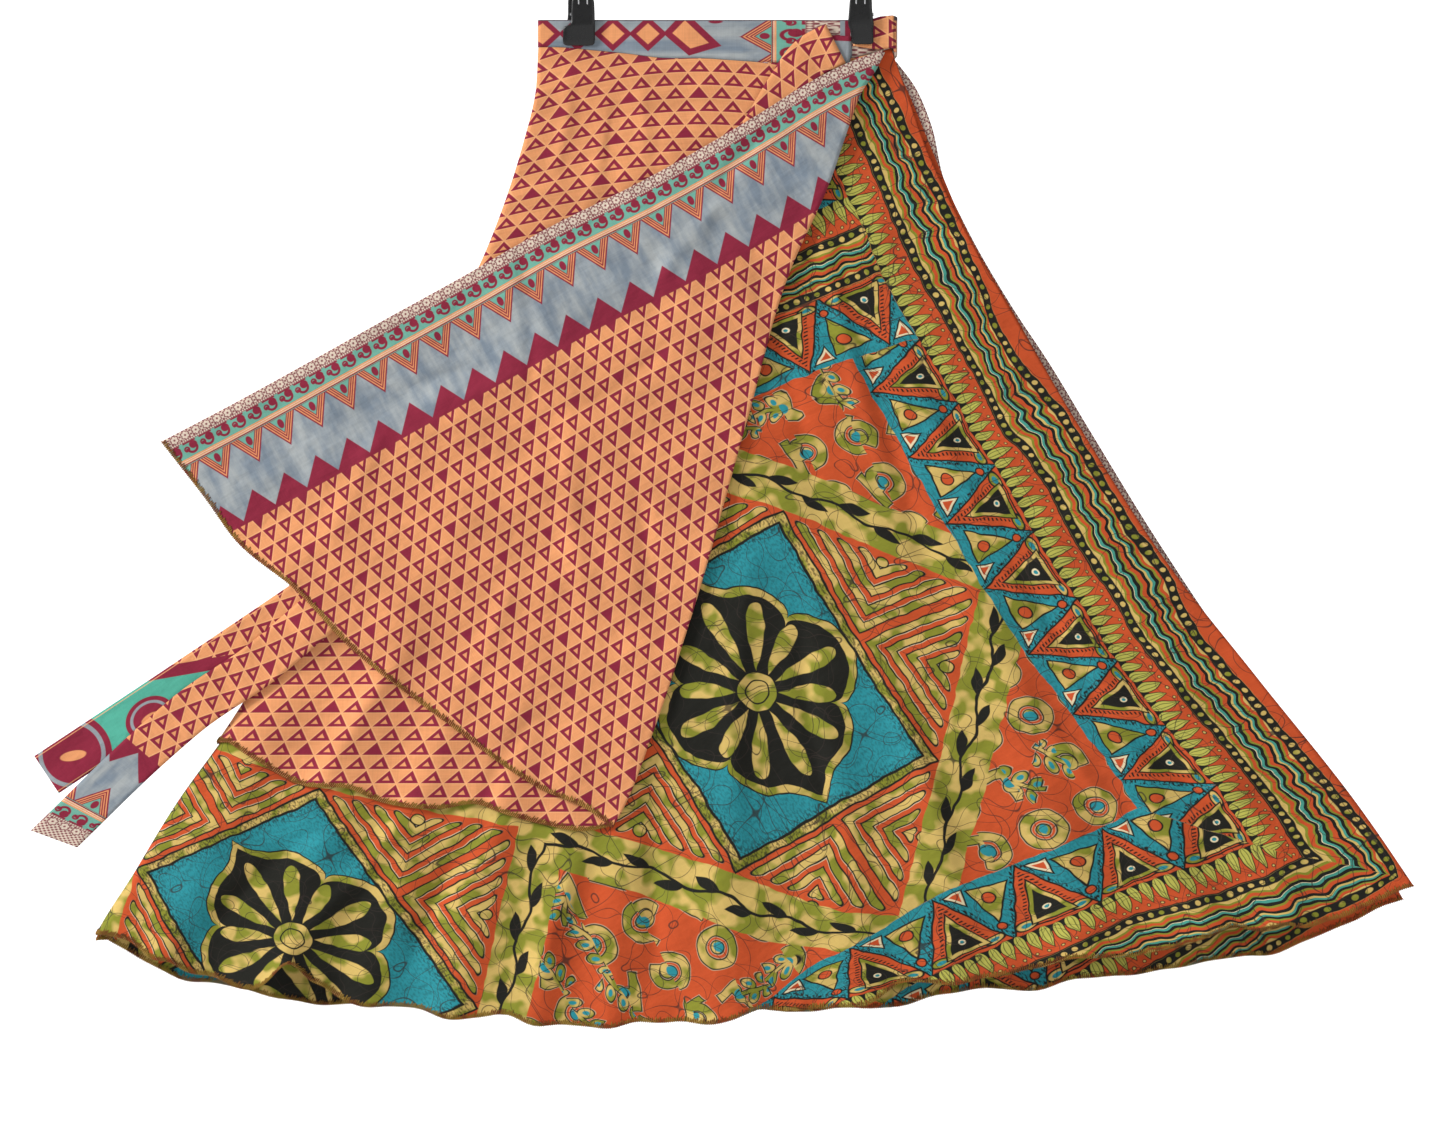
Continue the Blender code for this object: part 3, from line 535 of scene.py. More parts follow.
def add_mesh(name, points, faces, material):
    """A mesh piece in the scene, smooth shaded."""
    mesh = bpy.data.meshes.new(name)
    mesh.from_pydata(points.reshape(-1, 3).tolist(), [], [tuple(face) for face in faces])
    mesh.shade_smooth()
    mesh.materials.append(material)
    item = bpy.data.objects.new(name, mesh)
    bpy.context.scene.collection.objects.link(item)
    return item


def grid_faces(rows, columns):
    """Quads of a grid of rows by columns of points, wound to face the front."""
    index = np.arange(rows * columns).reshape(rows, columns)
    corners = (index[:-1, :-1], index[1:, :-1], index[1:, 1:], index[:-1, 1:])
    return np.stack(corners, axis=-1).reshape(-1, 4)


def ring_faces(rings, sides):
    """Quads between rings of points, closed round each ring."""
    ring = np.arange(rings - 1)[:, None] * sides
    side = np.arange(sides)[None]
    following = (side + 1) % sides
    corners = (ring + side, ring + following, ring + following + sides, ring + side + sides)
    return np.stack(corners, axis=-1).reshape(-1, 4)


# Width over which a print's edge goes from 0 to 1, in millimetres
PRINT_EDGE = 0.6


class Number:
    """A number that varies over the cloth: its operators add Math nodes to its material."""

    def __init__(self, finish, socket):
        self.finish = finish
        self.socket = socket

    def __add__(self, other):
        return self.finish.maths("ADD", self, other)

    def __sub__(self, other):
        return self.finish.maths("SUBTRACT", self, other)

    def __mul__(self, other):
        return self.finish.maths("MULTIPLY", self, other)

    def __truediv__(self, other):
        return self.finish.maths("DIVIDE", self, other)

    def __rsub__(self, other):
        return self.finish.maths("SUBTRACT", other, self)

    def __pow__(self, other):
        return self.finish.maths("POWER", self, other)

    def __neg__(self):
        return self * -1.0

    def __abs__(self):
        return self.finish.maths("ABSOLUTE", self)

    def __and__(self, other):
        return self.finish.maths("MULTIPLY", self, other)

    def __or__(self, other):
        return self.finish.maths("MAXIMUM", self, other)

    def __gt__(self, limit):
        return self.edge(limit, PRINT_EDGE)

    def __lt__(self, limit):
        return self.edge(limit, -PRINT_EDGE)

    __radd__ = __add__
    __rmul__ = __mul__

    def edge(self, limit, width):
        """Runs from 0 to 1 over a width round the limit; a negative width turns it over."""
        return self.finish.maths("MULTIPLY_ADD", self, 1 / width, 0.5 - limit / width, clamp=True)

    def line(self, factor, addend):
        """factor times this plus addend, as one node."""
        return self.finish.maths("MULTIPLY_ADD", self, factor, addend)

    def between(self, low, high):
        """1 from low to high and 0 beyond."""
        return abs(self - (low + high) / 2) < (high - low) / 2

    def repeat(self, pitch, start=None):
        """Wraps into a range one pitch long, from the start or centred on 0."""
        low = -pitch / 2 if start is None else start
        return self.finish.maths("WRAP", self, low + pitch, low)

    def unary(self, operation):
        """A Math node with this as its only value."""
        return self.finish.maths(operation, self)

    def wave(self, pitch, phase=0.0):
        """A sine wave of this pitch."""
        return self.line(TAU / pitch, phase).unary("SINE")

    def least(self, *others):
        """The smallest of this and the others."""
        value = self
        for other in others:
            value = self.finish.maths("MINIMUM", value, other)
        return value

    def most(self, other):
        """The larger of this and the other."""
        return self.finish.maths("MAXIMUM", self, other)


class Finish:
    """The nodes of one material."""

    def __init__(self, name, roughness=0.75, metallic=0.0, sheen=0.0, gloss=0.5):
        self.material = bpy.data.materials.new(name)
        self.material.use_nodes = True
        self.tree = self.material.node_tree
        self.shader = self.tree.nodes["Principled BSDF"]
        self.shader.inputs["Roughness"].default_value = roughness
        self.shader.inputs["Metallic"].default_value = metallic
        self.shader.inputs["Sheen Weight"].default_value = sheen
        self.shader.inputs["Specular IOR Level"].default_value = gloss

    def feed(self, socket, value):
        """Gives a socket a link or a constant."""
        if isinstance(value, Number):
            value = value.socket
        if isinstance(value, bpy.types.NodeSocket):
            self.tree.links.new(value, socket)
        else:
            socket.default_value = value

    def node(self, kind, settings=None, inputs=None):
        """Adds a node: its settings first, then the values or links of its sockets."""
        item = self.tree.nodes.new(kind)
        for name, value in (settings or {}).items():
            setattr(item, name, value)
        for name, value in (inputs or {}).items():
            self.feed(item.inputs[name], value)
        return item

    def maths(self, operation, *values, clamp=False):
        """A Math node of these values."""
        settings = {"operation": operation, "use_clamp": clamp}
        item = self.node("ShaderNodeMath", settings, dict(enumerate(values)))
        return Number(self, item.outputs[0])

    def mix(self, share, first, second):
        """The first colour where the share is 0 and the second where it is 1."""
        item = self.node("ShaderNodeMix", {"data_type": "RGBA"}, {0: share, 6: first, 7: second})
        return item.outputs[2]

    def paint(self, ground, *coats):
        """Lays each coat, a (mask, colour) pair, over the ground in turn."""
        for mask, colour in coats:
            ground = self.mix(mask, ground, colour)
        return ground

    def choose(self, share, first, second):
        """A number that goes from the first to the second."""
        item = self.node("ShaderNodeMix", {"data_type": "FLOAT"}, {0: share, 2: first, 3: second})
        return Number(self, item.outputs[0])

    def cloth_place(self, name="cloth"):
        """The piece's own cloth coordinates in millimetres, as two numbers."""
        x, y = self.split(self.node("ShaderNodeUVMap", {"uv_map": name}).outputs[0])
        return x * (1 / MM), y * (1 / MM)

    def vector(self, x, y):
        """A vector from two numbers, with 0 as its third."""
        return self.node("ShaderNodeCombineXYZ", None, {0: x, 1: y}).outputs[0]

    def own_place(self):
        """The place on the piece, in metres."""
        return self.node("ShaderNodeTexCoord").outputs["Object"]

    def split(self, vector):
        """The first two parts of a vector or colour, as numbers."""
        parts = self.node("ShaderNodeSeparateXYZ", None, {0: vector})
        return Number(self, parts.outputs[0]), Number(self, parts.outputs[1])

    def noise(self, place, scale, detail=1.0):
        """Smooth noise from about 0 to 1."""
        inputs = {"Vector": place, "Scale": scale, "Detail": detail}
        return Number(self, self.node("ShaderNodeTexNoise", None, inputs).outputs[0])

    def bands(self, value, stops):
        """A colour for each band of a value from 0 to 1, from (start, colour) pairs."""
        item = self.node("ShaderNodeValToRGB", None, {0: value})
        item.color_ramp.interpolation = "CONSTANT"
        elements = item.color_ramp.elements
        for element, (start, colour) in zip(elements, stops[:2]):
            element.position = start
            element.color = colour
        for start, colour in stops[2:]:
            elements.new(start).color = colour
        return item.outputs[0]

    def cover(self, colour):
        """Links the colour to the shader."""
        self.feed(self.shader.inputs["Base Color"], colour)

    def bump(self, height, distance):
        """Relief: a height of 1 stands that many metres out."""
        inputs = {"Height": height, "Distance": distance, "Strength": 1.0}
        self.feed(self.shader.inputs["Normal"], self.node("ShaderNodeBump", None, inputs).outputs[0])


def spot(x, y, half_x, half_y):
    """1 inside an ellipse round the origin."""
    a, b = x * (1 / half_x), y * (1 / half_y)
    return (a * a + b * b).edge(1.0, -2 * PRINT_EDGE / min(half_x, half_y))


def length(x, y):
    """Distance from the origin."""
    return (x * x + y * y).unary("SQRT")


def inside_triangle(x, y, corners):
    """Distance inwards from a triangle's sides: the least of the three, corners given anticlockwise."""
    sides = []
    for (x1, y1), (x2, y2) in zip(corners, corners[1:] + corners[:1]):
        reach = math.hypot(x2 - x1, y2 - y1)
        inward_x, inward_y = -(y2 - y1) / reach, (x2 - x1) / reach
        offset = y.line(inward_y, -inward_x * x1 - inward_y * y1)
        sides.append(x.finish.maths("MULTIPLY_ADD", x, inward_x, offset))
    return sides[0].least(*sides[1:])


def srgb(red, green, blue):
    """A screen colour from 0 to 255 as a linear colour with alpha."""
    shares = np.array((red, green, blue)) / 255
    linear = np.where(shares <= 0.04045, shares / 12.92, ((shares + 0.055) / 1.055) ** 2.4)
    return (*linear.tolist(), 1.0)


PEACH = srgb(228, 154, 103)
PEACH_LINE = srgb(238, 172, 120)
MAROON = srgb(138, 38, 60)
GREY_BLUE = srgb(145, 152, 157)
GREY_FADED = srgb(166, 171, 172)
GREY_DEEP = srgb(122, 134, 146)
TEAL_GREEN = srgb(112, 172, 154)
LACE_CREAM = srgb(220, 202, 184)
LACE_GAP = srgb(132, 74, 78)
ORANGE = srgb(196, 80, 40)
TURQUOISE = srgb(42, 140, 150)
BORDER_TEAL = srgb(70, 150, 134)
BLACK_INK = srgb(29, 29, 24)
OCHRE = srgb(206, 176, 100)
OLIVE = srgb(132, 134, 44)
CREAM = srgb(224, 208, 170)
SPEAR = srgb(184, 180, 84)
TIE_TEAL = srgb(84, 172, 150)
CRACKLE_BROWN = srgb(50, 42, 38)
OLIVE_DARK = srgb(70, 78, 32)
BAND_SHADOW = srgb(92, 80, 84)
THREAD_BROWN = srgb(120, 70, 34)
THREAD_OLIVE = srgb(142, 112, 44)

# Peach cloth, in millimetres from its free edge: repeat along the edge and where each band ends
BORDER_PITCH = 33.0
LACE_END = 11.0
TEAL_END = 25.0
STRIPE_END = 31.2
ZIGZAG_TIP = 58.5
SAWTOOTH_TIP = 77.6
SAWTOOTH_BASE = 100.0

# Small triangles: pitch along a row, height of a row and how far each row slips back
TRIANGLE_PITCH = 15.45
TRIANGLE_ROW = 15.4
TRIANGLE_SLIP = 4.7

# Orange cloth, in millimetres: half sizes of the rectangle and of the diamond round it, and repeats
RECTANGLE_ACROSS = 105.8
RECTANGLE_UP = 131.6
DIAMOND_ACROSS = 230.0
DIAMOND_UP = 242.9
PETALS = 12
PETAL_START = 17.0
VINE_WIDTH = 43.2
VINE_PITCH = 33.0
TILE_PITCH = 482.0
TILE_RISE = 636.6
FIELD_ACROSS = 232.0
FIELD_UP = 245.0
CHEVRON_PITCH = 13.0
MOTIF_CELL = 50.0
MOTIF_SCALE = 0.72

# Its border, in millimetres out from the field
TOOTH_HEIGHT = 68.0
TOOTH_PITCH = 70.0
SPEAR_PITCH = 10.4
BEAD_PITCH = 9.2
SPEAR_END = 93.0
DOTS_END = 99.4
BEADS_END = 107.6
WAVES_END = 139.0
BORDER_END = 146.3
TOP_BORDER = 147.2


def triangle_rows(finish, along, depth):
    """Rows of small triangles on slanting grid lines, hollow but for one in nine, which is filled."""
    row = (depth - SAWTOOTH_BASE) * (1 / TRIANGLE_ROW)
    place = finish.maths("MULTIPLY_ADD", row, TRIANGLE_SLIP, along) * (1 / TRIANGLE_PITCH)
    up = row.unary("FRACT")
    run = place.unary("FRACT")
    slant = run - up
    lines = up.least(1 - up, run, 1 - run, abs(slant))
    inside = up.least(1 - run, slant)
    rank = place.unary("FLOOR") + row.unary("FLOOR") * 0.34
    third_row = (row.unary("FLOOR") * (1 / 3)).line(1.0, 0.01).unary("FRACT").edge(0.2, -0.02)
    third_place = (rank.unary("FLOOR") * (1 / 3)).line(1.0, 0.01).unary("FRACT").edge(0.2, -0.02)
    hollow = inside.edge(0.228, 0.03) & (1 - (third_row & third_place))
    drawn = inside.edge(0.038, 0.03) & (1 - hollow)
    return finish.paint(PEACH, (lines.edge(0.03, -0.03), PEACH_LINE), (drawn, MAROON))


def leaning_teeth(finish, run, low, height, tip):
    """Distance inside a row of triangles one border repeat wide, whose tip stands at a place along it."""
    rise = finish.maths("MULTIPLY_ADD", run, height, low * -tip) * (1 / math.hypot(height, tip))
    rest = BORDER_PITCH - tip
    fall = finish.maths("MULTIPLY_ADD", BORDER_PITCH - run, height, low * -rest)
    return rise.least(fall * (1 / math.hypot(height, rest)))


def lace(finish, along, depth):
    """Pale knots between crossing dark lines, a ringed flower in each third of a repeat, and dots."""
    knots = along.wave(4.4) * depth.wave(3.6)
    run, up = along.repeat(BORDER_PITCH / 3), depth - 4.9
    reach = length(run, up)
    petals = reach - abs((finish.maths("ARCTAN2", up, run) * 3).unary("SINE"))
    dots = length(along.repeat(2.2), depth - 9.8)
    return finish.paint(
        LACE_CREAM, (knots > 0.12, LACE_GAP), (petals < 3.6, LACE_GAP), (petals < 2.6, LACE_CREAM),
        (reach < 1.0, LACE_GAP), (abs(depth - 9.8) < 1.2, LACE_GAP), (dots < 0.75, LACE_CREAM))


def curls(run, depth):
    """Commas and curls for one repeat of the green band."""
    half = run.repeat(BORDER_PITCH / 2)
    body = spot(half + 2.6, depth - 15.6, 3.9, 3.7)
    neck = (abs(length(half + 0.6, depth - 17.6) - 4.6) < 1.15) & (depth > 17.0)
    hook = (abs(length(half - 4.6, depth - 17.8) - 2.1) < 0.8) & (depth < 20.2)
    bead = spot(half - 4.9, depth - 18.3, 1.3, 1.3)
    foot = (depth < 12.6) & (abs(half) < 6.4)
    return body | neck | hook | bead | foot


def sari_print(finish, along, depth):
    """The peach cloth from its free edge inwards: lace, curls, stripe, zigzag, grey, sawtooth and
    triangles."""
    run = along.repeat(BORDER_PITCH, 0.0)
    patches = finish.noise(finish.vector(along, depth * 0.3), 0.08, 4.0).edge(0.5, 0.3)
    sawtooth = leaning_teeth(finish, (along + 9.6).repeat(BORDER_PITCH, 0.0), SAWTOOTH_BASE - depth,
                             SAWTOOTH_BASE - SAWTOOTH_TIP, 12.3)
    colour = finish.paint(
        triangle_rows(finish, along, depth),
        (depth < SAWTOOTH_BASE, finish.mix(patches, GREY_FADED, GREY_DEEP)),
        ((sawtooth > 0.0) & depth.between(SAWTOOTH_TIP, SAWTOOTH_BASE + 3.5), MAROON))
    within = leaning_teeth(finish, run, depth - STRIPE_END, ZIGZAG_TIP - STRIPE_END, 17.5)
    lines = abs(within - 2.7).least(abs(within - 4.7)) < 0.55
    colour = finish.paint(
        colour,
        (within > -0.2, MAROON),
        (within > 1.1, PEACH),
        (lines, MAROON),
        (within > 6.0, MAROON),
        (within > 6.9, TEAL_GREEN),
        (spot(run - 16.8, depth - 37.0, 2.9, 4.6), MAROON))
    stripes = finish.bands((depth - LACE_END) * (1 / 20.2), (
        (0.0, TEAL_GREEN), (0.693, PEACH), (0.76, LACE_CREAM), (0.79, PEACH), (0.85, LACE_CREAM),
        (0.88, PEACH), (0.9, MAROON), (0.95, TEAL_GREEN), (0.98, MAROON)))
    colour = finish.paint(
        colour,
        (depth < STRIPE_END, stripes),
        (curls(run, depth) & (depth < TEAL_END - 1.0), MAROON),
        (depth < LACE_END, lace(finish, along, depth)))
    return colour


def slubs(finish, along, depth):
    """Uneven yarn: long thin streaks both ways, from 0 to 1."""
    warp = finish.noise(finish.vector(along * 0.03, depth * 0.9), 1.0)
    weft = finish.noise(finish.vector(along * 0.9, depth * 0.03), 1.0)
    return warp * 0.5 + weft * 0.5


def weave(along, depth):
    """Plain weave, 0.4 mm a thread: a product of two waves, raised to a height from 0 to 1."""
    return (along.wave(0.8) * depth.wave(0.8)).line(0.5, 0.5)


# Cloth relief: how far out a thread stands, and how many times as far the rumples do
THREAD_RELIEF = 0.25 * MM
RUMPLE_RELIEF = 34.0


def cloth_finish(name):
    """Dull cloth with a trace of sheen."""
    return Finish(name, roughness=0.8, sheen=0.03, gloss=0.15)


def finish_cloth(finish, colour, along, depth, streaks):
    """Uneven yarn darkens and lightens the print a little, and weave and rumples give it relief."""
    uneven = slubs(finish, along, depth)
    worn = finish.noise(finish.vector(along, depth), 0.02, 3.0)
    shade = uneven.line(streaks * 2, 1.0 - streaks) * worn.line(0.5, 0.75)
    item = finish.node("ShaderNodeVectorMath", {"operation": "SCALE"}, {0: colour, "Scale": shade})
    finish.cover(item.outputs[0])
    rumple = finish.noise(finish.vector(along * 0.6, depth), 0.022, 4.0) * RUMPLE_RELIEF
    finish.bump(weave(along, depth) * 0.5 + uneven * 0.5 + rumple, THREAD_RELIEF)
    return finish.material


def peach_cloth():
    """Cloth of the short layer and the lower tie."""
    finish = cloth_finish("peach_cloth")
    along, depth = finish.cloth_place()
    return finish_cloth(finish, sari_print(finish, along, depth), along, depth, 0.16)


# Crack lines: scale of the noise, the value they follow and half their width
CRACKS = ((0.016, 0.5, 0.0022), (0.021, 0.46, 0.003), (0.027, 0.53, 0.004), (0.034, 0.44, 0.005))


def crack_lines(finish, place):
    """Thin wandering lines where smooth noises cross a value."""
    lines = Number(finish, 0.0)
    for scale, middle, width in CRACKS:
        lines = lines | abs(finish.noise(place, scale, 0.0) - middle).edge(width, -width)
    return lines


def flower_rim(angle):
    """A flower's outline for an angle up to a quarter turn: a notch at 36 degrees and a point at 90."""
    notch = abs(angle - math.radians(36)) * (1 / math.radians(27))
    point = (angle - math.radians(73)).most(0.0) * (1 / math.radians(17))
    return notch.least(1.0) ** 0.5 * 23.0 + 72.0 + point * point * 22.0


def rosette(finish, x, y, yellow):
    """A black flower: an outline of angle, drop-shaped petals and a ringed middle."""
    reach = length(x, y)
    rim = flower_rim(finish.maths("ARCTAN2", abs(y), abs(x))) - reach
    turn = finish.maths("ARCTAN2", y, x) * (PETALS / TAU)
    rank = turn.unary("ROUND")
    off = (turn - rank) * (TAU / PETALS)
    out = reach * off.unary("COSINE")
    side = abs(reach * off.unary("SINE"))
    folded = abs((rank * (TAU / PETALS)).unary("SINE").unary("ARCSINE"))
    tip = (flower_rim(folded) - 13.0).least(rank.line(2.4, 1.0).unary("SINE").line(5.0, 87.0))
    t = (out - PETAL_START) / (tip - PETAL_START)
    half = t * (1 - t * t).unary("SQRT") * 17.0
    petal = (half - side).edge(0.6, 0.8) & (out > PETAL_START)
    ring = abs(reach - 10.6) < 0.7
    return (
        (rim > -1.4, BLACK_INK), (rim > 0.0, yellow), (rim > 7.0, BLACK_INK), (petal, yellow),
        (reach < 19.0, BLACK_INK), (reach < 17.4, yellow), (ring, BLACK_INK))


def chevrons(finish, x, y, edge_in, yellow):
    """Nested bars that run beside the rectangle and turn outwards along the middle line."""
    beyond_x, beyond_y = x - RECTANGLE_ACROSS, y - RECTANGLE_UP
    beside = (beyond_x - beyond_y) > 0.0
    side = beyond_x.most(beyond_y)
    middle = finish.choose(beside, x, y)
    step = side.least(middle)
    away = (step - 8.0).repeat(CHEVRON_PITCH)
    end = (8.5 - edge_in).most(0.0)
    reach = length(away, end)
    white = length(away - 0.4, end) < 4.3
    dot = length(side - 56.0, middle - 56.0)
    bars = step < 52.0
    return (
        (white & bars, CREAM), ((reach < 4.25) & bars, BLACK_INK), ((reach < 2.95) & bars, yellow),
        (dot < 6.2, BLACK_INK), (dot < 4.9, yellow))


def vine(finish, x, y, out):
    """A wavy stem with alternate pointed leaves along the band."""
    slope = math.hypot(DIAMOND_ACROSS, DIAMOND_UP)
    along = finish.maths("MULTIPLY_ADD", x, DIAMOND_ACROSS / slope, y * (-DIAMOND_UP / slope))
    across = out - VINE_WIDTH / 2 - along.wave(VINE_PITCH * 2) * 3.2
    turned = across * (along - VINE_PITCH / 2).repeat(VINE_PITCH * 2).unary("SIGN")
    run = along.repeat(VINE_PITCH)
    lifted = turned - 5.6
    long_way = finish.maths("MULTIPLY_ADD", run, 0.91, lifted * 0.41)
    short_way = finish.maths("MULTIPLY_ADD", run, -0.41, lifted * 0.91)
    leaf = (long_way * long_way).line(-4.1 / 225, 4.1) - abs(short_way)
    return (leaf > 0.0) | (abs(across) < 1.3)


def motif_field(finish, across, up, yellow):
    """Loose motifs, one to a cell and each turned its own way: sprig, ring, triangle or curl."""
    column = (across * (1 / MOTIF_CELL)).unary("FLOOR")
    row = (up * (1 / MOTIF_CELL)).unary("FLOOR")
    seed = finish.node("ShaderNodeTexWhiteNoise", {"noise_dimensions": "2D"},
                       {0: finish.vector(column, row)})
    value = Number(finish, seed.outputs["Value"])
    local = finish.vector(across.repeat(MOTIF_CELL), (up - MOTIF_CELL / 2).repeat(MOTIF_CELL))
    turned = finish.node("ShaderNodeVectorRotate", {"rotation_type": "Z_AXIS"},
                         {"Vector": local, "Angle": value * 40.0})
    x, y = (part * MOTIF_SCALE for part in finish.split(turned.outputs[0]))
    reach = length(x, y)
    leaf_x = (x - 4.0).repeat(10.5)
    leaf_y = abs(y) - 5.2
    leaf = 3.6 - length(leaf_x - leaf_y * 0.5, leaf_y * 0.85)
    sprig = leaf.least(16.0 - abs(x)).most(1.0 - abs(y - x * x * 0.01)).least(19.0 - reach)
    ring = (2.6 - abs(reach - 10.5)).most(3.8 - reach)
    triangle = inside_triangle(x, y, [(-15.0, -10.0), (15.0, -10.0), (-2.0, 15.0)])
    curl = (2.6 - abs(length(x - 2.0, y) - 8.5)).least(y + 4.0)
    stem = (2.4 - abs(x + 8.0)).least(13.0 - abs(y + 1.0))
    curl = curl.most(4.6 - length(x - 2.0, y + 1.0)).most(stem)
    kind = value.line(4.0, 0.0)
    form = finish.choose(kind.edge(1.0, 0.02), sprig, ring)
    form = finish.choose(kind.edge(2.0, 0.02), form, triangle)
    form = finish.choose(kind.edge(3.0, 0.02), form, curl)
    heart = finish.choose(kind.edge(1.0, 0.02), leaf - 1.8, 3.8 - length(x + 1.0, y + 1.0)) > 0.0
    fill = finish.mix(heart, yellow, TURQUOISE)
    return ((form > -1.25, CREAM), (form > -1.05, BLACK_INK), (form > -0.15, fill))


def teeth(finish, along, depth, yellow, blue, grain):
    """The border's big teeth with figures on them, and the framed triangles between them."""
    side = along.repeat(TOOTH_PITCH, 0.0) - TOOTH_PITCH / 2
    tooth = (depth.line(-TOOTH_PITCH / 2 / TOOTH_HEIGHT, TOOTH_PITCH / 2) - abs(side)) * 0.889
    between = TOOTH_PITCH / 2 - abs(side)
    frame_in = (58.0 - depth).least((depth.line(0.42, -12.6) - between) * 0.92)
    dashes = frame_in.between(-8.8, -5.8) & (abs(depth.repeat(3.4)) < 0.7)
    leaf = 3.6 - length((between - 22.0) * 0.5, depth - 61.0)
    bead = length(between, depth - 50.0)
    large = inside_triangle(side, depth, [(-9.0, 9.0), (22.0, 12.0), (-1.0, 46.0)])
    small = inside_triangle(side, depth, [(-27.0, 6.0), (-13.0, 6.0), (-16.0, 20.0)])
    seed = length(side - 3.5, depth - 21.0)
    tip = length(side + 1.0, depth - 52.5)
    return finish.paint(
        ORANGE,
        (dashes, BLACK_INK),
        (leaf > -1.3, BLACK_INK), (leaf > 0.0, yellow), (leaf > 1.6, blue),
        (frame_in > -5.0, BLACK_INK), (frame_in > -3.7, yellow), (frame_in > -0.7, BLACK_INK),
        (bead < 3.0, CREAM), (bead < 1.7, blue),
        (tooth > -1.5, BLACK_INK), (tooth > 0.0, blue), (tooth.between(0.0, 3.5) & grain, BLACK_INK),
        (large > -1.5, BLACK_INK), (large > 0.0, yellow),
        (seed < 6.0, BLACK_INK), (seed < 4.7, ORANGE),
        (small > -1.5, BLACK_INK), (small > -0.2, CREAM), (small > 1.6, ORANGE),
        (tip < 4.6, BLACK_INK), (tip < 3.3, ORANGE))


def spears(finish, along, depth):
    """A row of spear heads that point outwards, dark between their feet, and a row of dots beyond."""
    side = abs(along.repeat(SPEAR_PITCH))
    rank = (along * (1 / SPEAR_PITCH)).unary("ROUND")
    t = ((depth - TOOTH_HEIGHT) / rank.line(2.4, 0.0).unary("SINE").line(3.0, 23.0)).most(0.0)
    half = t.unary("SQRT") * (1 - t) * 10.4
    head = half - side
    ground = finish.mix(depth < TOOTH_HEIGHT + 8.0, ORANGE, BLACK_INK)
    stripes = abs(side - half * 0.45) < 0.28
    dot = length((along + SPEAR_PITCH / 2).repeat(SPEAR_PITCH), depth - 93.6)
    return finish.paint(
        ground, (head > -0.9, BLACK_INK), (head > -0.1, SPEAR), (stripes & (head > 0.3), OLIVE_DARK),
        (dot < 1.7, BLACK_INK), (dot < 1.0, OCHRE), (depth > DOTS_END - 1.2, BLACK_INK))


def waves(finish, along, depth, yellow):
    """Wavy stripes between two black lines of beads, then a thin pale line and plain orange."""
    shifted = depth + along.wave(31.0) * 1.5 + along.wave(13.5, 1.0) * 0.6
    stripes = finish.bands((shifted - BEADS_END) * (1 / (WAVES_END - BEADS_END)), (
        (0.0, OCHRE), (0.06, OLIVE), (0.12, ORANGE), (0.21, OLIVE), (0.25, BLACK_INK), (0.32, CREAM),
        (0.335, BORDER_TEAL), (0.40, BLACK_INK), (0.47, OLIVE), (0.52, ORANGE), (0.61, BLACK_INK),
        (0.68, OCHRE), (0.73, BORDER_TEAL), (0.78, BLACK_INK), (0.84, OLIVE), (0.89, ORANGE),
        (0.96, OCHRE)))
    middle = (SPEAR_END + 6.4 + BORDER_END) / 2
    across = abs(abs(depth - middle) - (BORDER_END - middle - 4.1))
    bead = length(along.repeat(BEAD_PITCH), across)
    ends = depth < BORDER_END
    return finish.paint(
        ORANGE, (ends, stripes), (ends & (across < 4.1), BLACK_INK), ((bead < 2.3) & ends, yellow))


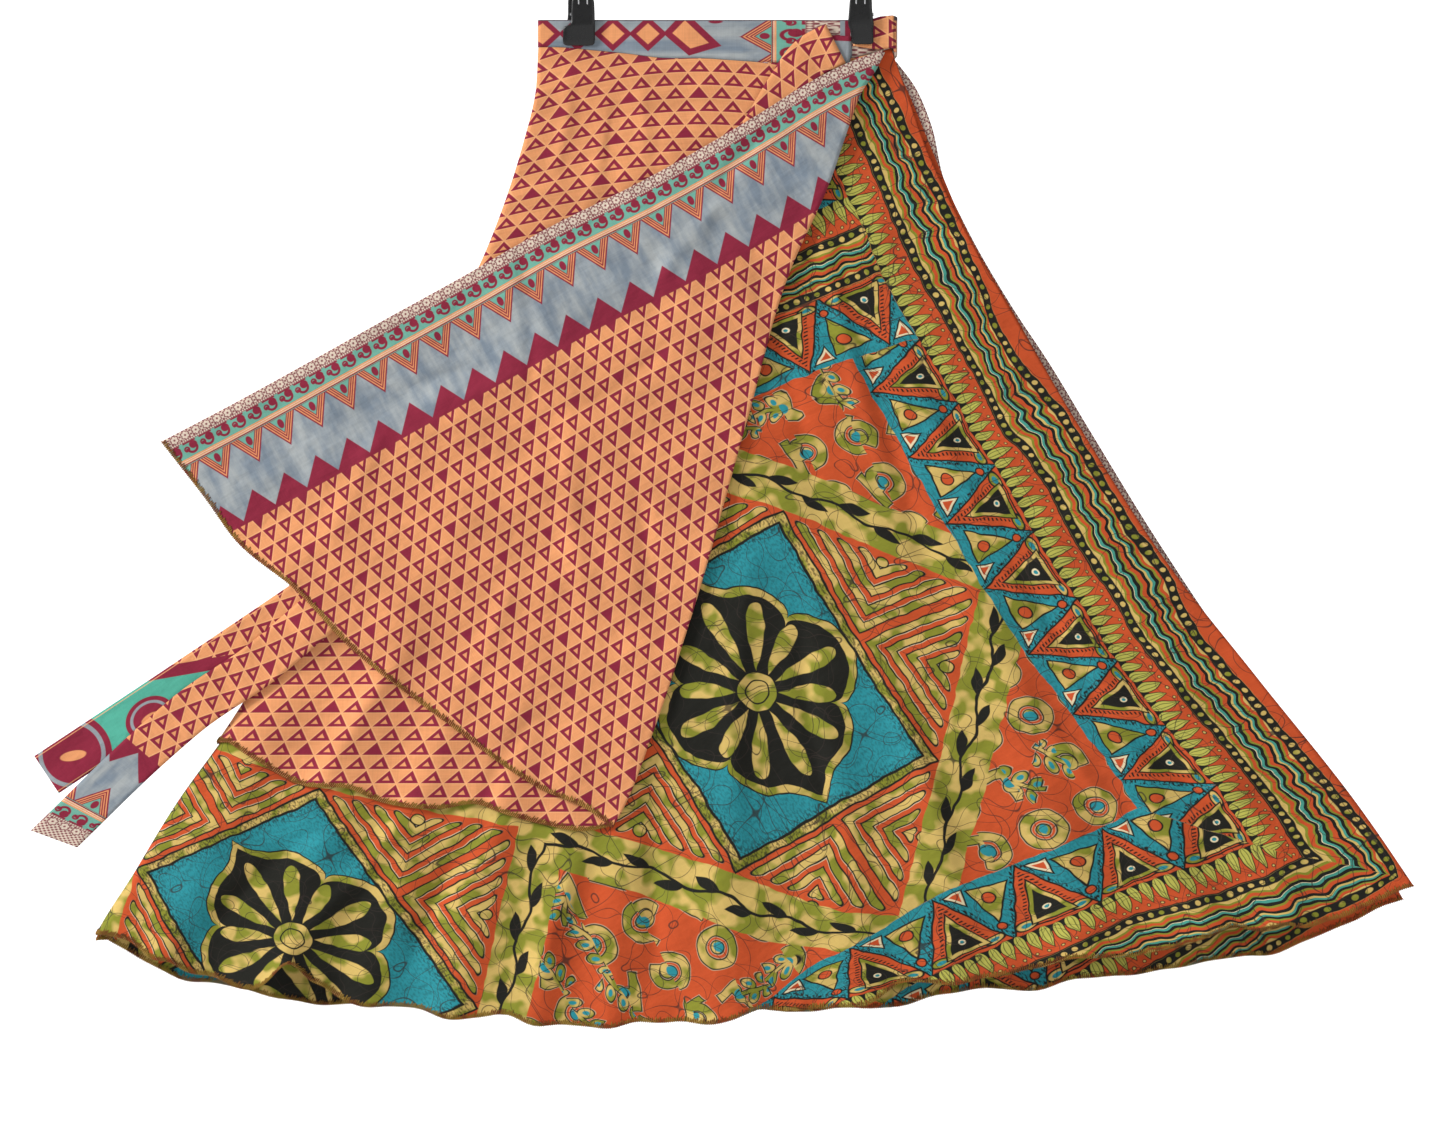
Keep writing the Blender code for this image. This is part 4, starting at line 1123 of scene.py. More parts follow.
def orange_print(finish, across, up):
    """Tiles of a rosette, a rectangle and a diamond of vine bands, in a field with a wide border."""
    place = finish.vector(across, up)
    drift = finish.node("ShaderNodeTexNoise", None, {"Vector": place, "Scale": 0.05, "Detail": 1.0})
    sideways, upwards = finish.split(drift.outputs["Color"])
    across = across + sideways.line(6.0, -3.0)
    up = up + upwards.line(6.0, -3.0)
    yellow = finish.mix(finish.noise(place, 0.05).edge(0.5, 0.11), OCHRE, OLIVE)
    cracks = crack_lines(finish, place)
    grain = finish.noise(finish.vector(across, up * 0.5), 0.55).edge(0.54, 0.2)
    blue = finish.mix(grain * 0.3, TURQUOISE, BLACK_INK)

    tile = across.repeat(TILE_PITCH)
    level = up.repeat(TILE_RISE, -FIELD_UP)
    x, y = abs(tile), abs(level)
    slope = DIAMOND_ACROSS * DIAMOND_UP / math.hypot(DIAMOND_ACROSS, DIAMOND_UP)
    out = finish.maths("MULTIPLY_ADD", x, slope / DIAMOND_ACROSS, y.line(slope / DIAMOND_UP, -slope))
    rectangle = (RECTANGLE_ACROSS - x).least(RECTANGLE_UP - y)
    inner = finish.paint(ORANGE, *chevrons(finish, x, y, -out, yellow))
    band = finish.mix(vine(finish, x, y, out), yellow, BLACK_INK)
    outer = finish.paint(ORANGE, *motif_field(finish, across, up, yellow))
    stain = rectangle.edge(16.0, -10.0) & grain
    square = finish.paint(
        BLACK_INK, (rectangle > 2.0, yellow), (rectangle > 8.4, BLACK_INK), (rectangle > 10.8, blue),
        (stain * 0.7, BLACK_INK),
        *rosette(finish, tile, level, yellow))
    colour = finish.paint(inner, (out > 0.0, band), (out > VINE_WIDTH, outer), (rectangle > 0.0, square))

    beyond_side, beyond_foot, beyond_top = across - FIELD_ACROSS, -FIELD_UP - up, level - FIELD_UP
    top = (beyond_top > 0.0) & (beyond_side < TOOTH_HEIGHT) & (beyond_foot < 0.0)
    turned = finish.choose(beyond_top > TOOTH_HEIGHT, beyond_top, TOP_BORDER + TOOTH_HEIGHT - beyond_top)
    depth = finish.choose(top, beyond_side.most(beyond_foot), turned)
    beside = ((beyond_side - beyond_foot) > 0.0) & (1 - top)
    squeeze = TOOTH_PITCH / (TILE_PITCH / 6)
    along = finish.choose(beside, across.line(squeeze, TOOTH_PITCH / 2 - FIELD_ACROSS * squeeze), up)
    colour = finish.paint(
        colour,
        (depth > 0.0, teeth(finish, along, depth, yellow, blue, grain)),
        (depth > TOOTH_HEIGHT, spears(finish, along, depth)),
        (depth > DOTS_END, waves(finish, along, depth, yellow)))
    return finish.paint(colour, (cracks * 0.8, CRACKLE_BROWN))


def orange_cloth():
    """Cloth of the long layer."""
    finish = cloth_finish("orange_cloth")
    across, up = finish.cloth_place()
    return finish_cloth(finish, orange_print(finish, across, up), across, up, 0.07)


# Waistband figures in millimetres right and down: a row of diamonds and one large broken one
BAND_DIAMOND = (17.8, 16.2)
BAND_DIAMOND_PITCH = 32.3
BAND_DIAMOND_AT = (-99.0, 12.8)
BAND_LARGE = [(-53.0, 12.6), (-33.0, -8.0), (1.0, 24.0), (-29.0, 33.0)]


def band_cloth():
    """The peach cloth's border lies across the band, and grey cloth with diamonds makes the rest."""
    finish = cloth_finish("band_cloth")
    along, depth = finish.cloth_place()
    right, down = finish.cloth_place("strip")
    half_x, half_y = BAND_DIAMOND
    x = abs((right - BAND_DIAMOND_AT[0]).repeat(BAND_DIAMOND_PITCH))
    y = abs(down - BAND_DIAMOND_AT[1])
    slope = half_x * half_y / math.hypot(half_x, half_y)
    diamond = finish.maths("MULTIPLY_ADD", x, -slope / half_x, y.line(-slope / half_y, slope))
    row = right < -51.0
    large = inside_triangle(right, down, BAND_LARGE)
    colour = finish.paint(
        sari_print(finish, along, depth),
        ((diamond > 0.0) & row, MAROON), ((diamond > 4.8) & row, PEACH),
        (large > 0.0, MAROON), (large > 6.0, PEACH), (spot(right + 4.5, down - 1.6, 6.5, 1.8), MAROON),
        (right.between(110.0, 121.0), GREY_BLUE), (right.between(114.5, 119.5), MAROON),
        (down < 0.9, BAND_SHADOW))
    return finish_cloth(finish, colour, right, down, 0.2)


def tie_print(reach):
    """The upper tie: medallions at its end, a slanting stripe, the triangles, and grey at its top."""
    finish = cloth_finish("tie_cloth")
    out, side = finish.cloth_place()
    first = length(out - 30.0, side - 3.0)
    second = length(out - 108.0, (side + 9.0) * 1.3)
    drop_x, drop_y = out - 30.0 - (side - 1.0) * 0.8, side - 1.0 + (out - 30.0) * 0.45
    stripe = finish.maths("MULTIPLY_ADD", out - 184.0, 0.407, side * 0.914)
    ends = finish.paint(
        TIE_TEAL,
        (first < 37.0, MAROON), (abs(first - 29.0) < 2.0, GREY_BLUE),
        (spot(drop_x, drop_y, 15.0, 5.0), PEACH),
        (second < 24.0, MAROON), (abs(second - 18.0) < 1.5, GREY_BLUE),
        (spot(out - 108.0, side + 9.0, 9.0, 3.6), PEACH))
    colour = finish.paint(
        triangle_rows(finish, side, out * 0.98 + 500.0),
        (stripe < 0.0, ends), (abs(stripe) < 5.6, MAROON), (abs(abs(side) - 18.4) < 0.3, PEACH_LINE),
        (out > reach - 70.0, GREY_BLUE), (out > reach - 5.0, MAROON))
    return finish_cloth(finish, colour, out, side, 0.12)


def thread(settings):
    """Overlock thread: two strands that change along the seam."""
    finish = Finish("overlock_thread", roughness=0.8, gloss=0.2)
    place = finish.own_place()
    finish.cover(finish.mix(finish.noise(place, 90.0).edge(0.5, 0.2), tuple(settings.thread_first),
                            tuple(settings.thread_second)))
    return finish.material


def moulded_plastic():
    """Black plastic with a fine uneven gloss."""
    finish = Finish("black_plastic", roughness=0.3)
    place = finish.own_place()
    finish.shader.inputs["Base Color"].default_value = srgb(12, 12, 13)
    finish.feed(finish.shader.inputs["Roughness"], finish.noise(place, 300.0).line(0.25, 0.18))
    finish.bump(finish.noise(place, 900.0), 0.00005)
    return finish.material


def drawn_steel():
    """Steel wire and strip with a fine uneven surface."""
    finish = Finish("steel", metallic=1.0)
    place = finish.own_place()
    finish.shader.inputs["Base Color"].default_value = srgb(206, 206, 208)
    finish.feed(finish.shader.inputs["Roughness"], finish.noise(place, 220.0).line(0.25, 0.2))
    finish.bump(finish.noise(place, 700.0), 0.00004)
    return finish.material


def pale_finish(name, shade):
    """Matt white that goes unevenly to a shade of white."""
    finish = Finish(name, roughness=0.9)
    finish.cover(finish.mix(finish.noise(finish.own_place(), 3.0), srgb(250, 250, 250), shade))
    return finish


def paper():
    """Pale paper of the floor."""
    return pale_finish("paper", srgb(246, 246, 247)).material


def white_cloth():
    """White cloth of the backdrop, which glows evenly."""
    finish = pale_finish("white_backdrop", srgb(247, 247, 248))
    finish.shader.inputs["Emission Color"].default_value = (1.0, 1.0, 1.0, 1.0)
    finish.shader.inputs["Emission Strength"].default_value = 1.0
    return finish.material


# Places on the long front (right, down) and on the flat print (across, up) in millimetres: where the
# rectangles' corners, the border's rows and the cloth's corner hang
PRINT_PLACES = np.array((
    (34, 618, 0, 0), (58, 450, 106, 132), (201, 682, 106, -132), (15, 786, -106, -132),
    (-129, 560, -106, 132), (240, 524, 230, 0), (-166, 731, -230, 0), (381, 725, 232, -245),
    (121, 312, 232, 245), (138, 342, 232, 210), (172, 403, 232, 140), (207, 464, 232, 70),
    (282, 584, 232, -70), (323, 639, 232, -140), (366, 699, 232, -210), (182, 293, 300, 245),
    (218, 352, 300, 175), (252, 409, 300, 105), (287, 471, 300, 35), (328, 532, 300, -35),
    (364, 589, 300, -105), (410, 650, 300, -175), (455, 704, 300, -245), (428, 781, 234, -313),
    (350, 810, 152, -313), (194, 878, -9, -313), (117, 899, -89, -313), (350, 743, 191, -245),
    (268, 777, 111, -245), (194, 807, 31, -245), (118, 853, -49, -245), (47, 898, -130, -245),
    (89, 257, 232, 313), (132, 192, 300, 357), (-393, 844, -482, 0), (-538, 780, -588, 132),
    (-368, 705, -376, 132), (-222, 909, -376, -132), (543, 771, 336, -348), (621, 787, 374, -387),
    (636, 795, 397, -409), (161, 181, 336, 356), (189, 240, 336, 291), (219, 294, 336, 230),
    (260, 373, 336, 138), (344, 501, 336, -12), (384, 565, 336, -87), (438, 635, 336, -170),
    (481, 686, 336, -235), (208, 175, 374, 346), (245, 251, 374, 261), (306, 353, 374, 141),
    (332, 394, 374, 92), (408, 509, 374, -40), (448, 579, 374, -119), (483, 619, 374, -169),
    (539, 684, 374, -253), (570, 720, 374, -302), (258, 251, 397, 257), (459, 555, 397, -101),
    (486, 797, 275, -348), (380, 827, 166, -348), (567, 815, 325, -387), (507, 837, 269, -387)
), float)
PRINT_SOFTNESS = 170.0


def thin_plate(places, values, softness):
    """Smooth map through scattered places: a plane plus a sum of r squared log r."""
    def kernel(a, b):
        reach = np.linalg.norm(a[:, None] - b[None], axis=-1)
        return reach**2 * np.log(np.maximum(reach, 1e-9))

    count = len(places)
    plane = np.column_stack((np.ones(count), places))
    table = np.zeros((count + 3, count + 3))
    table[:count, :count] = kernel(places, places) + softness * np.eye(count)
    table[:count, count:] = plane
    table[count:, :count] = plane.T
    weights = np.linalg.solve(table, np.vstack((values, np.zeros((3, values.shape[1])))))
    return lambda at: kernel(at, places) @ weights[:count] + weights[count] + at @ weights[count + 1:]


def long_front_print(place):
    """The orange print as it hangs on the long front."""
    lie = thin_plate(PRINT_PLACES[:, :2], PRINT_PLACES[:, 2:], PRINT_SOFTNESS)
    return lie(place.reshape(-1, 2) / MM).reshape(place.shape) * MM


def beside_edge(place, rows, inward):
    """Distance along an edge and away from it, with the edge's own bends taken off."""
    line = smooth_curve(rows, np.linspace(0.0, 1.0, EDGE_STEPS))
    run = (line[-1] - line[0]) / np.linalg.norm(line[-1] - line[0])
    away = np.array((run[1], -run[0])) * inward
    edge_along, edge_away = (line - line[0]) @ run, (line - line[0]) @ away
    along = (place - line[0]) @ run
    return along, (place - line[0]) @ away - np.interp(along, edge_along, edge_away)


# Where the free edge's top lies on the orange print behind, across and up
BACK_PRINT_TOP = (396.0 * MM, 490.0 * MM)


def long_back_print(place):
    """The orange print behind, with its border beside the free edge."""
    along, away = beside_edge(place, BACK_FREE_EDGE, -1.0)
    return np.stack((BACK_PRINT_TOP[0] - away, BACK_PRINT_TOP[1] - along), axis=-1)


# Length that the lie of the triangles is worked out over, and their pitch as they hang, in millimetres
TRIANGLE_REACH = 640.0
TRIANGLE_RUN = 21.3


def triangle_place(place):
    """Triangle rows that lie across the skirt and grow a little taller towards the hem.  A row's number
    is a logarithm of its depth, which counts for less away from the middle near the waist, and the row
    slips sideways by a share of its number less a share of its depth."""
    right, down = place[..., 0] / MM, place[..., 1] / MM
    t = (down - 0.0012 * (right + 19.0) ** 2 * np.exp(-(down / 260.0) ** 2)) / TRIANGLE_REACH
    grown = np.log(1 + t / 12.0)
    rows = TRIANGLE_REACH * grown
    slip = TRIANGLE_REACH * (66.45 * grown - 4.65 * t)
    runs = (right - slip) / TRIANGLE_RUN
    along = runs * TRIANGLE_PITCH + rows * TRIANGLE_SLIP
    depth = SAWTOOTH_BASE + (90 - rows) * TRIANGLE_ROW
    return np.stack((along, depth), axis=-1) * MM


def edge_print(place, rows, inward, start=0.0):
    """The peach print with its border beside an edge."""
    along, away = beside_edge(place, rows, inward)
    return np.stack((along + start, away), axis=-1)


# Where the peach cloth's border lies across the waistband: (right, depth from the cloth's edge)
BAND_BORDER = ((-20.0, 68.0), (17.6, 59.0), (47.4, 30.5), (51.0, 25.0), (77.7, 11.0), (118.0, 0.0),
               (160.0, -9.0))

# Far enough off, right and down, in metres, that no figure of the band reaches its back or lapped end
OFF_STRIP = 0.4

# How far the lower tie's end slants, how far in from its end the border's edge lies, and where in the
# border's repeat the short back's free edge starts
TIE_LOWER_SLANT = -20.0 * MM
TIE_LOWER_LAP = 10.7 * MM
BACK_BORDER_START = 12.0 * MM


def band_print(place, out):
    """Cloth coordinates of the waistband: border across it, and small triangles on the lapped end."""
    right, down = place[..., 0], place[..., 1]
    border = np.array(BAND_BORDER) * MM
    on_front = np.stack((down + 1.9 * MM, np.interp(right, border[:, 0], border[:, 1])), axis=-1)
    on_tab = np.stack((down, right + (SAWTOOTH_BASE + 20 * TRIANGLE_ROW) * MM), axis=-1)
    return np.where((out > (BAND_OUT + TAB_OUT) / 2)[..., None], on_tab, on_front)


def tie_print_place(reach, lap=0.0):
    """Distance from a tie's end, and across it."""
    out = (1.0 - np.linspace(0.0, 1.0, TIE_COLUMNS + 1)) * reach
    side = np.linspace(0.5, -0.5, TIE_ACROSS + 1) * TIE_WIDTH
    return np.stack(np.meshgrid(out - lap, side, indexing="ij"), axis=-1)


def add_cloth(name, points, maps, wall, material, flip=False, seam=None):
    """A grid of points as a thin wall.  Each map gives cloth coordinates, either one grid of them or a
    pair: the second is used from the seam's column on."""
    rows, columns = points.shape[:2]
    faces = grid_faces(rows, columns)
    if flip:
        faces = faces[:, ::-1]
    item = add_mesh(name, points, faces, material)
    corners = faces.ravel()
    beyond = np.repeat(faces.min(axis=1) % columns >= (columns if seam is None else seam), 4)
    for map_name, grids in maps.items():
        first, second = (grid.reshape(-1, 2)[corners] for grid in (grids[0], grids[-1]))
        layer = item.data.uv_layers.new(name=map_name)
        layer.data.foreach_set("uv", np.where(beyond[:, None], second, first).astype(np.float32).ravel())
    thickness = item.modifiers.new("wall", "SOLIDIFY")
    thickness.thickness = wall
    thickness.offset = 0.0
    return item


MADE = {}


def shared(make, *settings):
    """A material that more than one piece uses, made the first time."""
    if make not in MADE:
        MADE[make] = make(*settings)
    return MADE[make]


def stands_for(item, node):
    """The piece moves with the one body and takes the node's place."""
    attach(item, "root")
    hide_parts(node)


# A direction that no thread or spring runs along
TUBE_SIDEWAYS = (0.31, 0.87, 0.38)


def tube(line, radius, sides=4):
    """Points and faces of a thin round thread along a line."""
    along = unit(np.gradient(line, axis=0))
    across = unit(np.cross(along, TUBE_SIDEWAYS))
    other = np.cross(along, across)
    turn = np.linspace(0.0, TAU, sides, endpoint=False)[None, :, None]
    points = line[:, None] + radius * (across[:, None] * np.cos(turn) + other[:, None] * np.sin(turn))
    return points.reshape(-1, 3), ring_faces(len(line), sides)


def overlock(name, grid, material):
    """A thread wound round the last row of a cloth's grid: out over the front, round the edge and back
    behind it.  A row a little inside the edge gives the way inwards."""
    run = length_along(grid[-1])
    turns = int(run[-1] / STITCH_PITCH)
    phase = np.arange(turns * STITCH_STEPS + 1) / STITCH_STEPS
    place = phase / turns * run[-1]
    at_edge, at_inner = (np.column_stack([np.interp(place, run, row[:, axis]) for axis in range(3)])
                         for row in (grid[-1], grid[-4]))
    inward = unit(at_inner - at_edge)
    outward = np.cross(inward, unit(np.gradient(at_edge, axis=0)))
    outward *= np.sign(outward[:, 1:2]) * -1.0
    uneven = 1.0 + 0.22 * np.sin(place * 1900.0) + 0.18 * np.sin(place * 710.0 + 1.0)
    reach = (0.5 - 0.5 * np.cos(TAU * phase)) * STITCH_DEPTH * uneven - STITCH_OVER
    lift = np.sin(TAU * phase) * STITCH_LIFT
    line = at_edge + inward * reach[:, None] + outward * lift[:, None]
    points, faces = tube(line, STITCH_RADIUS)
    return add_mesh(name, points, faces, material)


def add_panel(name, node, slot, points, cloth_map, material, settings, flat, area, **options):
    """One panel of a layer in its node's place, with its overlocked hem."""
    panel = add_cloth(name, points, {"cloth": cloth_map}, settings.cloth_wall, material, **options)
    stands_for(panel, node)
    hem = overlock(f"{name}_overlock", points, shared(thread, settings))
    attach(hem, "root")


def build_long_layer(settings):
    """The long orange layer, front and back, each with its overlocked hem."""
    orange = orange_cloth()
    place, out = skirt_panel(FRONT_HEM, FREE_EDGE, FRONT_BAND_FOOT, FRONT_FOLDS, INNER_LAYER,
                             settings.long_columns)
    add_panel("long_front", "inner_front", "orange_cloth", world(place, out), [long_front_print(place)],
              orange, settings, flat=(1.24, 0.96), area=0.66)
    place, out = skirt_panel(BACK_HEM, BACK_FREE_EDGE, BACK_BAND_FOOT, BACK_FOLDS, INNER_LAYER,
                             settings.long_back_columns)
    add_panel("long_back", "inner_back", "orange_cloth", world(place, -out), [long_back_print(place)],
              orange, settings, flat=(1.24, 0.96), area=0.66, flip=True)


def build_short_layer(settings):
    """The short peach layer: front with its turned-back flap in one sheet, and back."""
    peach = shared(peach_cloth)
    place, out, flap_start = outer_front_surface(settings.body_columns, settings.flap_columns)
    add_panel("short_front", "outer_front", "peach_cloth", world(place, out),
              [triangle_place(place), edge_print(place, FLAP_EDGE, 1.0)],
              peach, settings, flat=(1.02, 0.80), area=0.44, seam=flap_start - FOLD_COLUMNS // 2)
    place, out = skirt_panel(BACK_SHORT_HEM, BACK_SHORT_EDGE, BACK_BAND_FOOT, BACK_FOLDS, OUTER_LAYER,
                             settings.short_back_columns)
    add_panel("short_back", "outer_back", "peach_cloth", world(place, -out),
              [edge_print(place, BACK_SHORT_EDGE, -1.0, BACK_BORDER_START)],
              peach, settings, flat=(1.02, 0.80), area=0.48, flip=True)


def add_tie(name, node, place, out, coordinates, material):
    """A tie in its node's place."""
    tie = add_cloth(name, world(place, out), {"cloth": [coordinates]}, TIE_WALL, material)
    stands_for(tie, node)


def build_band_and_ties():
    """The waistband with its lapped end, and the two ties."""
    peach = shared(peach_cloth)
    place, out = band_surface()
    on_front = (out > 0.0) & (out < TAB_OUT - 0.1 * MM)
    strip = np.where(on_front[..., None], place, place + OFF_STRIP)
    band = add_cloth("band", world(place, out), {"cloth": [band_print(place, out)], "strip": [strip]},
                     BAND_WALL, band_cloth(), flip=True)
    stands_for(band, "waistband")
    place, out, reach = tie_surface(TIE_UPPER, TIE_LIFT_UNDER, 0.0)
    add_tie("tie_a", "tie_upper", place, out, tie_print_place(reach), tie_print(reach / MM))
    place, out, reach = tie_surface(TIE_LOWER, TIE_LIFT_OVER, TIE_LOWER_SLANT)
    coordinates = tie_print_place(reach, TIE_LOWER_LAP)[..., ::-1] + np.array((TIE_WIDTH / 2, 0.0))
    add_tie("tie_b", "tie_lower", place, out, coordinates, peach)


# The front jaws as moulded, in millimetres: down from the waist, left and right side, back and front
ShellRow = namedtuple("ShellRow", "down left right near far")
SHELLS = {
    "clip_left": [ShellRow(*row) for row in (
        (-25.6, -131.5, -122.0, 6.0, 7.6), (-25.0, -134.0, -119.5, 5.6, 8.2),
        (-21.0, -135.6, -117.4, 5.0, 8.6), (-16.0, -136.8, -116.0, 4.5, 8.8),
        (-6.0, -137.3, -115.6, 3.7, 9.0), (2.0, -137.4, -115.5, 3.6, 9.2),
        (4.6, -138.4, -115.4, 3.6, 9.4), (6.4, -143.2, -115.3, 3.6, 9.2),
        (8.4, -144.6, -115.3, 3.6, 8.6), (18.0, -145.0, -115.4, 3.6, 7.4),
        (21.8, -144.6, -115.9, 3.6, 6.6), (23.3, -143.2, -117.3, 3.8, 6.0),
        (23.8, -140.5, -120.0, 4.2, 5.5))],
    "clip_right": [ShellRow(*row) for row in (
        (-25.6, 123.0, 133.5, 9.0, 10.6), (-25.0, 121.0, 136.0, 8.6, 11.2),
        (-21.0, 119.4, 137.6, 8.0, 11.6), (-16.0, 118.6, 138.8, 7.5, 11.8),
        (-8.0, 118.0, 139.6, 6.8, 12.0), (-2.0, 117.5, 140.2, 6.6, 12.2),
        (3.0, 117.2, 140.8, 6.6, 12.2), (6.0, 117.6, 141.0, 6.6, 11.8),
        (10.0, 119.2, 140.4, 6.6, 11.2), (16.0, 120.2, 140.6, 6.6, 10.4),
        (20.6, 120.6, 140.6, 6.6, 9.8), (22.2, 121.6, 139.8, 6.8, 9.2),
        (22.8, 124.0, 137.6, 7.2, 8.6))],
}
SHELL_SIDES = 32

# Spring wires: the jaw's row they stand out from, points along one, how far each is from the middle,
# radius, how far above the waistband the bend's middle lies, half its height and half its depth
SPRING_ROW = 3
SPRING_STEPS = 24
SPRING_AT = 4.0 * MM
SPRING_RADIUS = 0.9 * MM
SPRING_UP = 19.0 * MM
SPRING_RISE = 7.0 * MM
SPRING_BACK = 4.0 * MM


def clip_shell(name, rows, plastic, steel):
    """A front jaw: rounded rectangles (cosine and sine to the power 0.4) one below the other, and its
    spring, two wires that bend over the top from the front jaw to the back one."""
    turn = np.linspace(0.0, TAU, SHELL_SIDES, endpoint=False)[None, :]
    down, left, right, near, far = (np.array(rows) * MM).T[:, :, None]
    wide = np.sign(np.cos(turn)) * np.abs(np.cos(turn)) ** 0.4
    deep = np.sign(np.sin(turn)) * np.abs(np.sin(turn)) ** 0.4
    points = np.stack((
        (left + right) / 2 + (right - left) / 2 * wide,
        -((near + far) / 2 + (far - near) / 2 * deep),
        np.broadcast_to(-HANG - down, (len(rows), SHELL_SIDES))), axis=-1)
    faces = ring_faces(len(rows), SHELL_SIDES).tolist()
    last = (len(rows) - 1) * SHELL_SIDES
    faces += [list(range(SHELL_SIDES))[::-1], [last + place for place in range(SHELL_SIDES)]]
    shell = add_mesh(f"{name}_front_shell", points, faces, plastic)
    stands_for(shell, f"{name}_front_jaw")
    middle = (rows[SPRING_ROW].left + rows[SPRING_ROW].right) / 2 * MM
    bend = np.linspace(-math.pi / 2, math.pi * 0.9, SPRING_STEPS)
    out = (rows[SPRING_ROW].far + 0.3) * MM - (1.0 - np.cos(bend)) * SPRING_BACK
    up = -HANG + (SPRING_UP + SPRING_RISE * np.sin(bend))
    wires, joins = [], []
    for side in (-1.0, 1.0):
        line = np.column_stack((np.full(SPRING_STEPS, middle + side * SPRING_AT), -out, up))
        wire, join = tube(line, SPRING_RADIUS, 8)
        joins.append(join + sum(len(other) for other in wires))
        wires.append(wire)
    spring = add_mesh(f"{name}_spring", np.concatenate(wires), np.concatenate(joins), steel)
    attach(spring, "root")


def finish_hanger():
    """Plastic on the jaws, and steel on the hook, bar, pins and straps."""
    plastic, steel = moulded_plastic(), drawn_steel()
    for name, rows in SHELLS.items():
        clip_shell(name, rows, plastic, steel)
    for name, node in frame["nodes"].items():
        if name.startswith(("clip_", "hanger_")):
            node.data.materials.clear()
            node.data.materials.append(plastic if name.endswith("jaw") else steel)


# What the camera shows at the cloth's middle plane: its width, and its middle across and up
FRAME_WIDTH = 1.3294
FRAME_MIDDLE = (0.00184, -0.6115)
SENSOR_WIDTH = 36.0
LIT_PLACE = (0.0, 0.0, -0.6)
SURROUND = 0.40

# Left, right, near and far side of the floor and its height; the backdrop's distance and width
FLOOR = (-2.6, 2.6, -2.4, 2.2)
FLOOR_UP = -1.3
BACKDROP_OUT = 24.0
BACKDROP_WIDTH = 7.0

# Lamps: place, width and power
Lamp = namedtuple("Lamp", "name place size power")
LAMPS = (
    Lamp("key", (-7.0, -3.5, 3.2), 2.0, 750.0),
    Lamp("fill", (3.0, -4.4, 0.6), 3.0, 24.0),
    Lamp("low", (0.4, -3.6, -1.15), 2.0, 6.0),
)


def build_studio(settings):
    """Camera, pale floor, a white backdrop far behind, three soft lamps and a white surround."""
    scene = bpy.context.scene
    camera_data = bpy.data.cameras.new("camera")
    camera_data.sensor_width = SENSOR_WIDTH
    camera_data.lens = SENSOR_WIDTH * settings.distance / FRAME_WIDTH
    camera_data.clip_end = 100.0
    camera = bpy.data.objects.new("camera", camera_data)
    scene.collection.objects.link(camera)
    camera.location = (FRAME_MIDDLE[0], -settings.distance, FRAME_MIDDLE[1])
    camera.rotation_euler = (math.pi / 2, 0.0, 0.0)
    scene.camera = camera
    left, right, near, far = FLOOR
    corners = np.array([(x, y, FLOOR_UP) for y in (near, far) for x in (left, right)])
    add_mesh("floor", corners, grid_faces(2, 2)[:, ::-1], paper())
    half = BACKDROP_WIDTH / 2
    corners = np.array([(x, BACKDROP_OUT, z) for z in (half, -half) for x in (-half, half)])
    add_mesh("backdrop", corners, grid_faces(2, 2), white_cloth())
    for lamp in LAMPS:
        data = bpy.data.lights.new(lamp.name, "AREA")
        data.size = lamp.size
        data.energy = lamp.power * settings.brightness
        item = bpy.data.objects.new(lamp.name, data)
        scene.collection.objects.link(item)
        item.location = lamp.place
        look = Vector(LIT_PLACE) - Vector(lamp.place)
        item.rotation_euler = look.to_track_quat("-Z", "Y").to_euler()
    surround = bpy.data.worlds.new("studio")
    scene.world = surround
    surround.use_nodes = True
    white = surround.node_tree.nodes["Background"]
    white.inputs["Color"].default_value = (1.0, 1.0, 1.0, 1.0)
    white.inputs["Strength"].default_value = SURROUND * settings.brightness
    scene.view_settings.view_transform = "Standard"


def divisions(label, part, default, most=300):
    """A setting for how finely a part is divided across."""
    return bpy.props.IntProperty(name=f"{label} columns", description=f"Divisions across {part}",
                                 default=default, min=60, max=most)


def thread_colour(label, strand, default):
    """A setting for the colour of one strand."""
    return bpy.props.FloatVectorProperty(name=f"{label} thread", subtype="COLOR", size=4,
                                         description=f"{strand} strand of the overlock stitching",
                                         default=default, min=0.0, max=1.0)


class SkirtSettings(bpy.types.PropertyGroup):
    """How finely the cloths are divided, how thick they are, and the colours of their thread."""
    long_columns: divisions("Long front", "the long layer's front", 262, 400)
    long_back_columns: divisions("Long back", "the long layer's back", 180, 400)
    body_columns: divisions("Short front", "the short front", 150)
    flap_columns: divisions("Flap", "the turned-back flap", 150)
    short_back_columns: divisions("Short back", "the short back", 140)
    cloth_wall: bpy.props.FloatProperty(
        name="Cloth thickness", description="Thickness of the panels' cloth", unit="LENGTH",
        default=0.5 * MM, min=0.2 * MM, max=1.2 * MM, precision=5)
    thread_first: thread_colour("First", "One", THREAD_BROWN)
    thread_second: thread_colour("Second", "The other", THREAD_OLIVE)


class StudioSettings(bpy.types.PropertyGroup):
    """Light and camera."""
    brightness: bpy.props.FloatProperty(
        name="Brightness", description="Factor on every lamp and on the surround", subtype="FACTOR",
        default=1.0, min=0.1, max=4.0)
    distance: bpy.props.FloatProperty(
        name="Camera distance", description="From the camera to the cloth's middle plane", unit="LENGTH",
        default=9.0, min=3.0, max=20.0)


class WRAPSKIRT_OT_band_and_ties(bpy.types.Operator):
    """Add the waistband with its lapped end, and the two ties"""
    bl_idname = "wrap_skirt.band_and_ties"
    bl_label = "Waistband and Ties"

    def execute(self, context):
        build_band_and_ties()
        return {"FINISHED"}


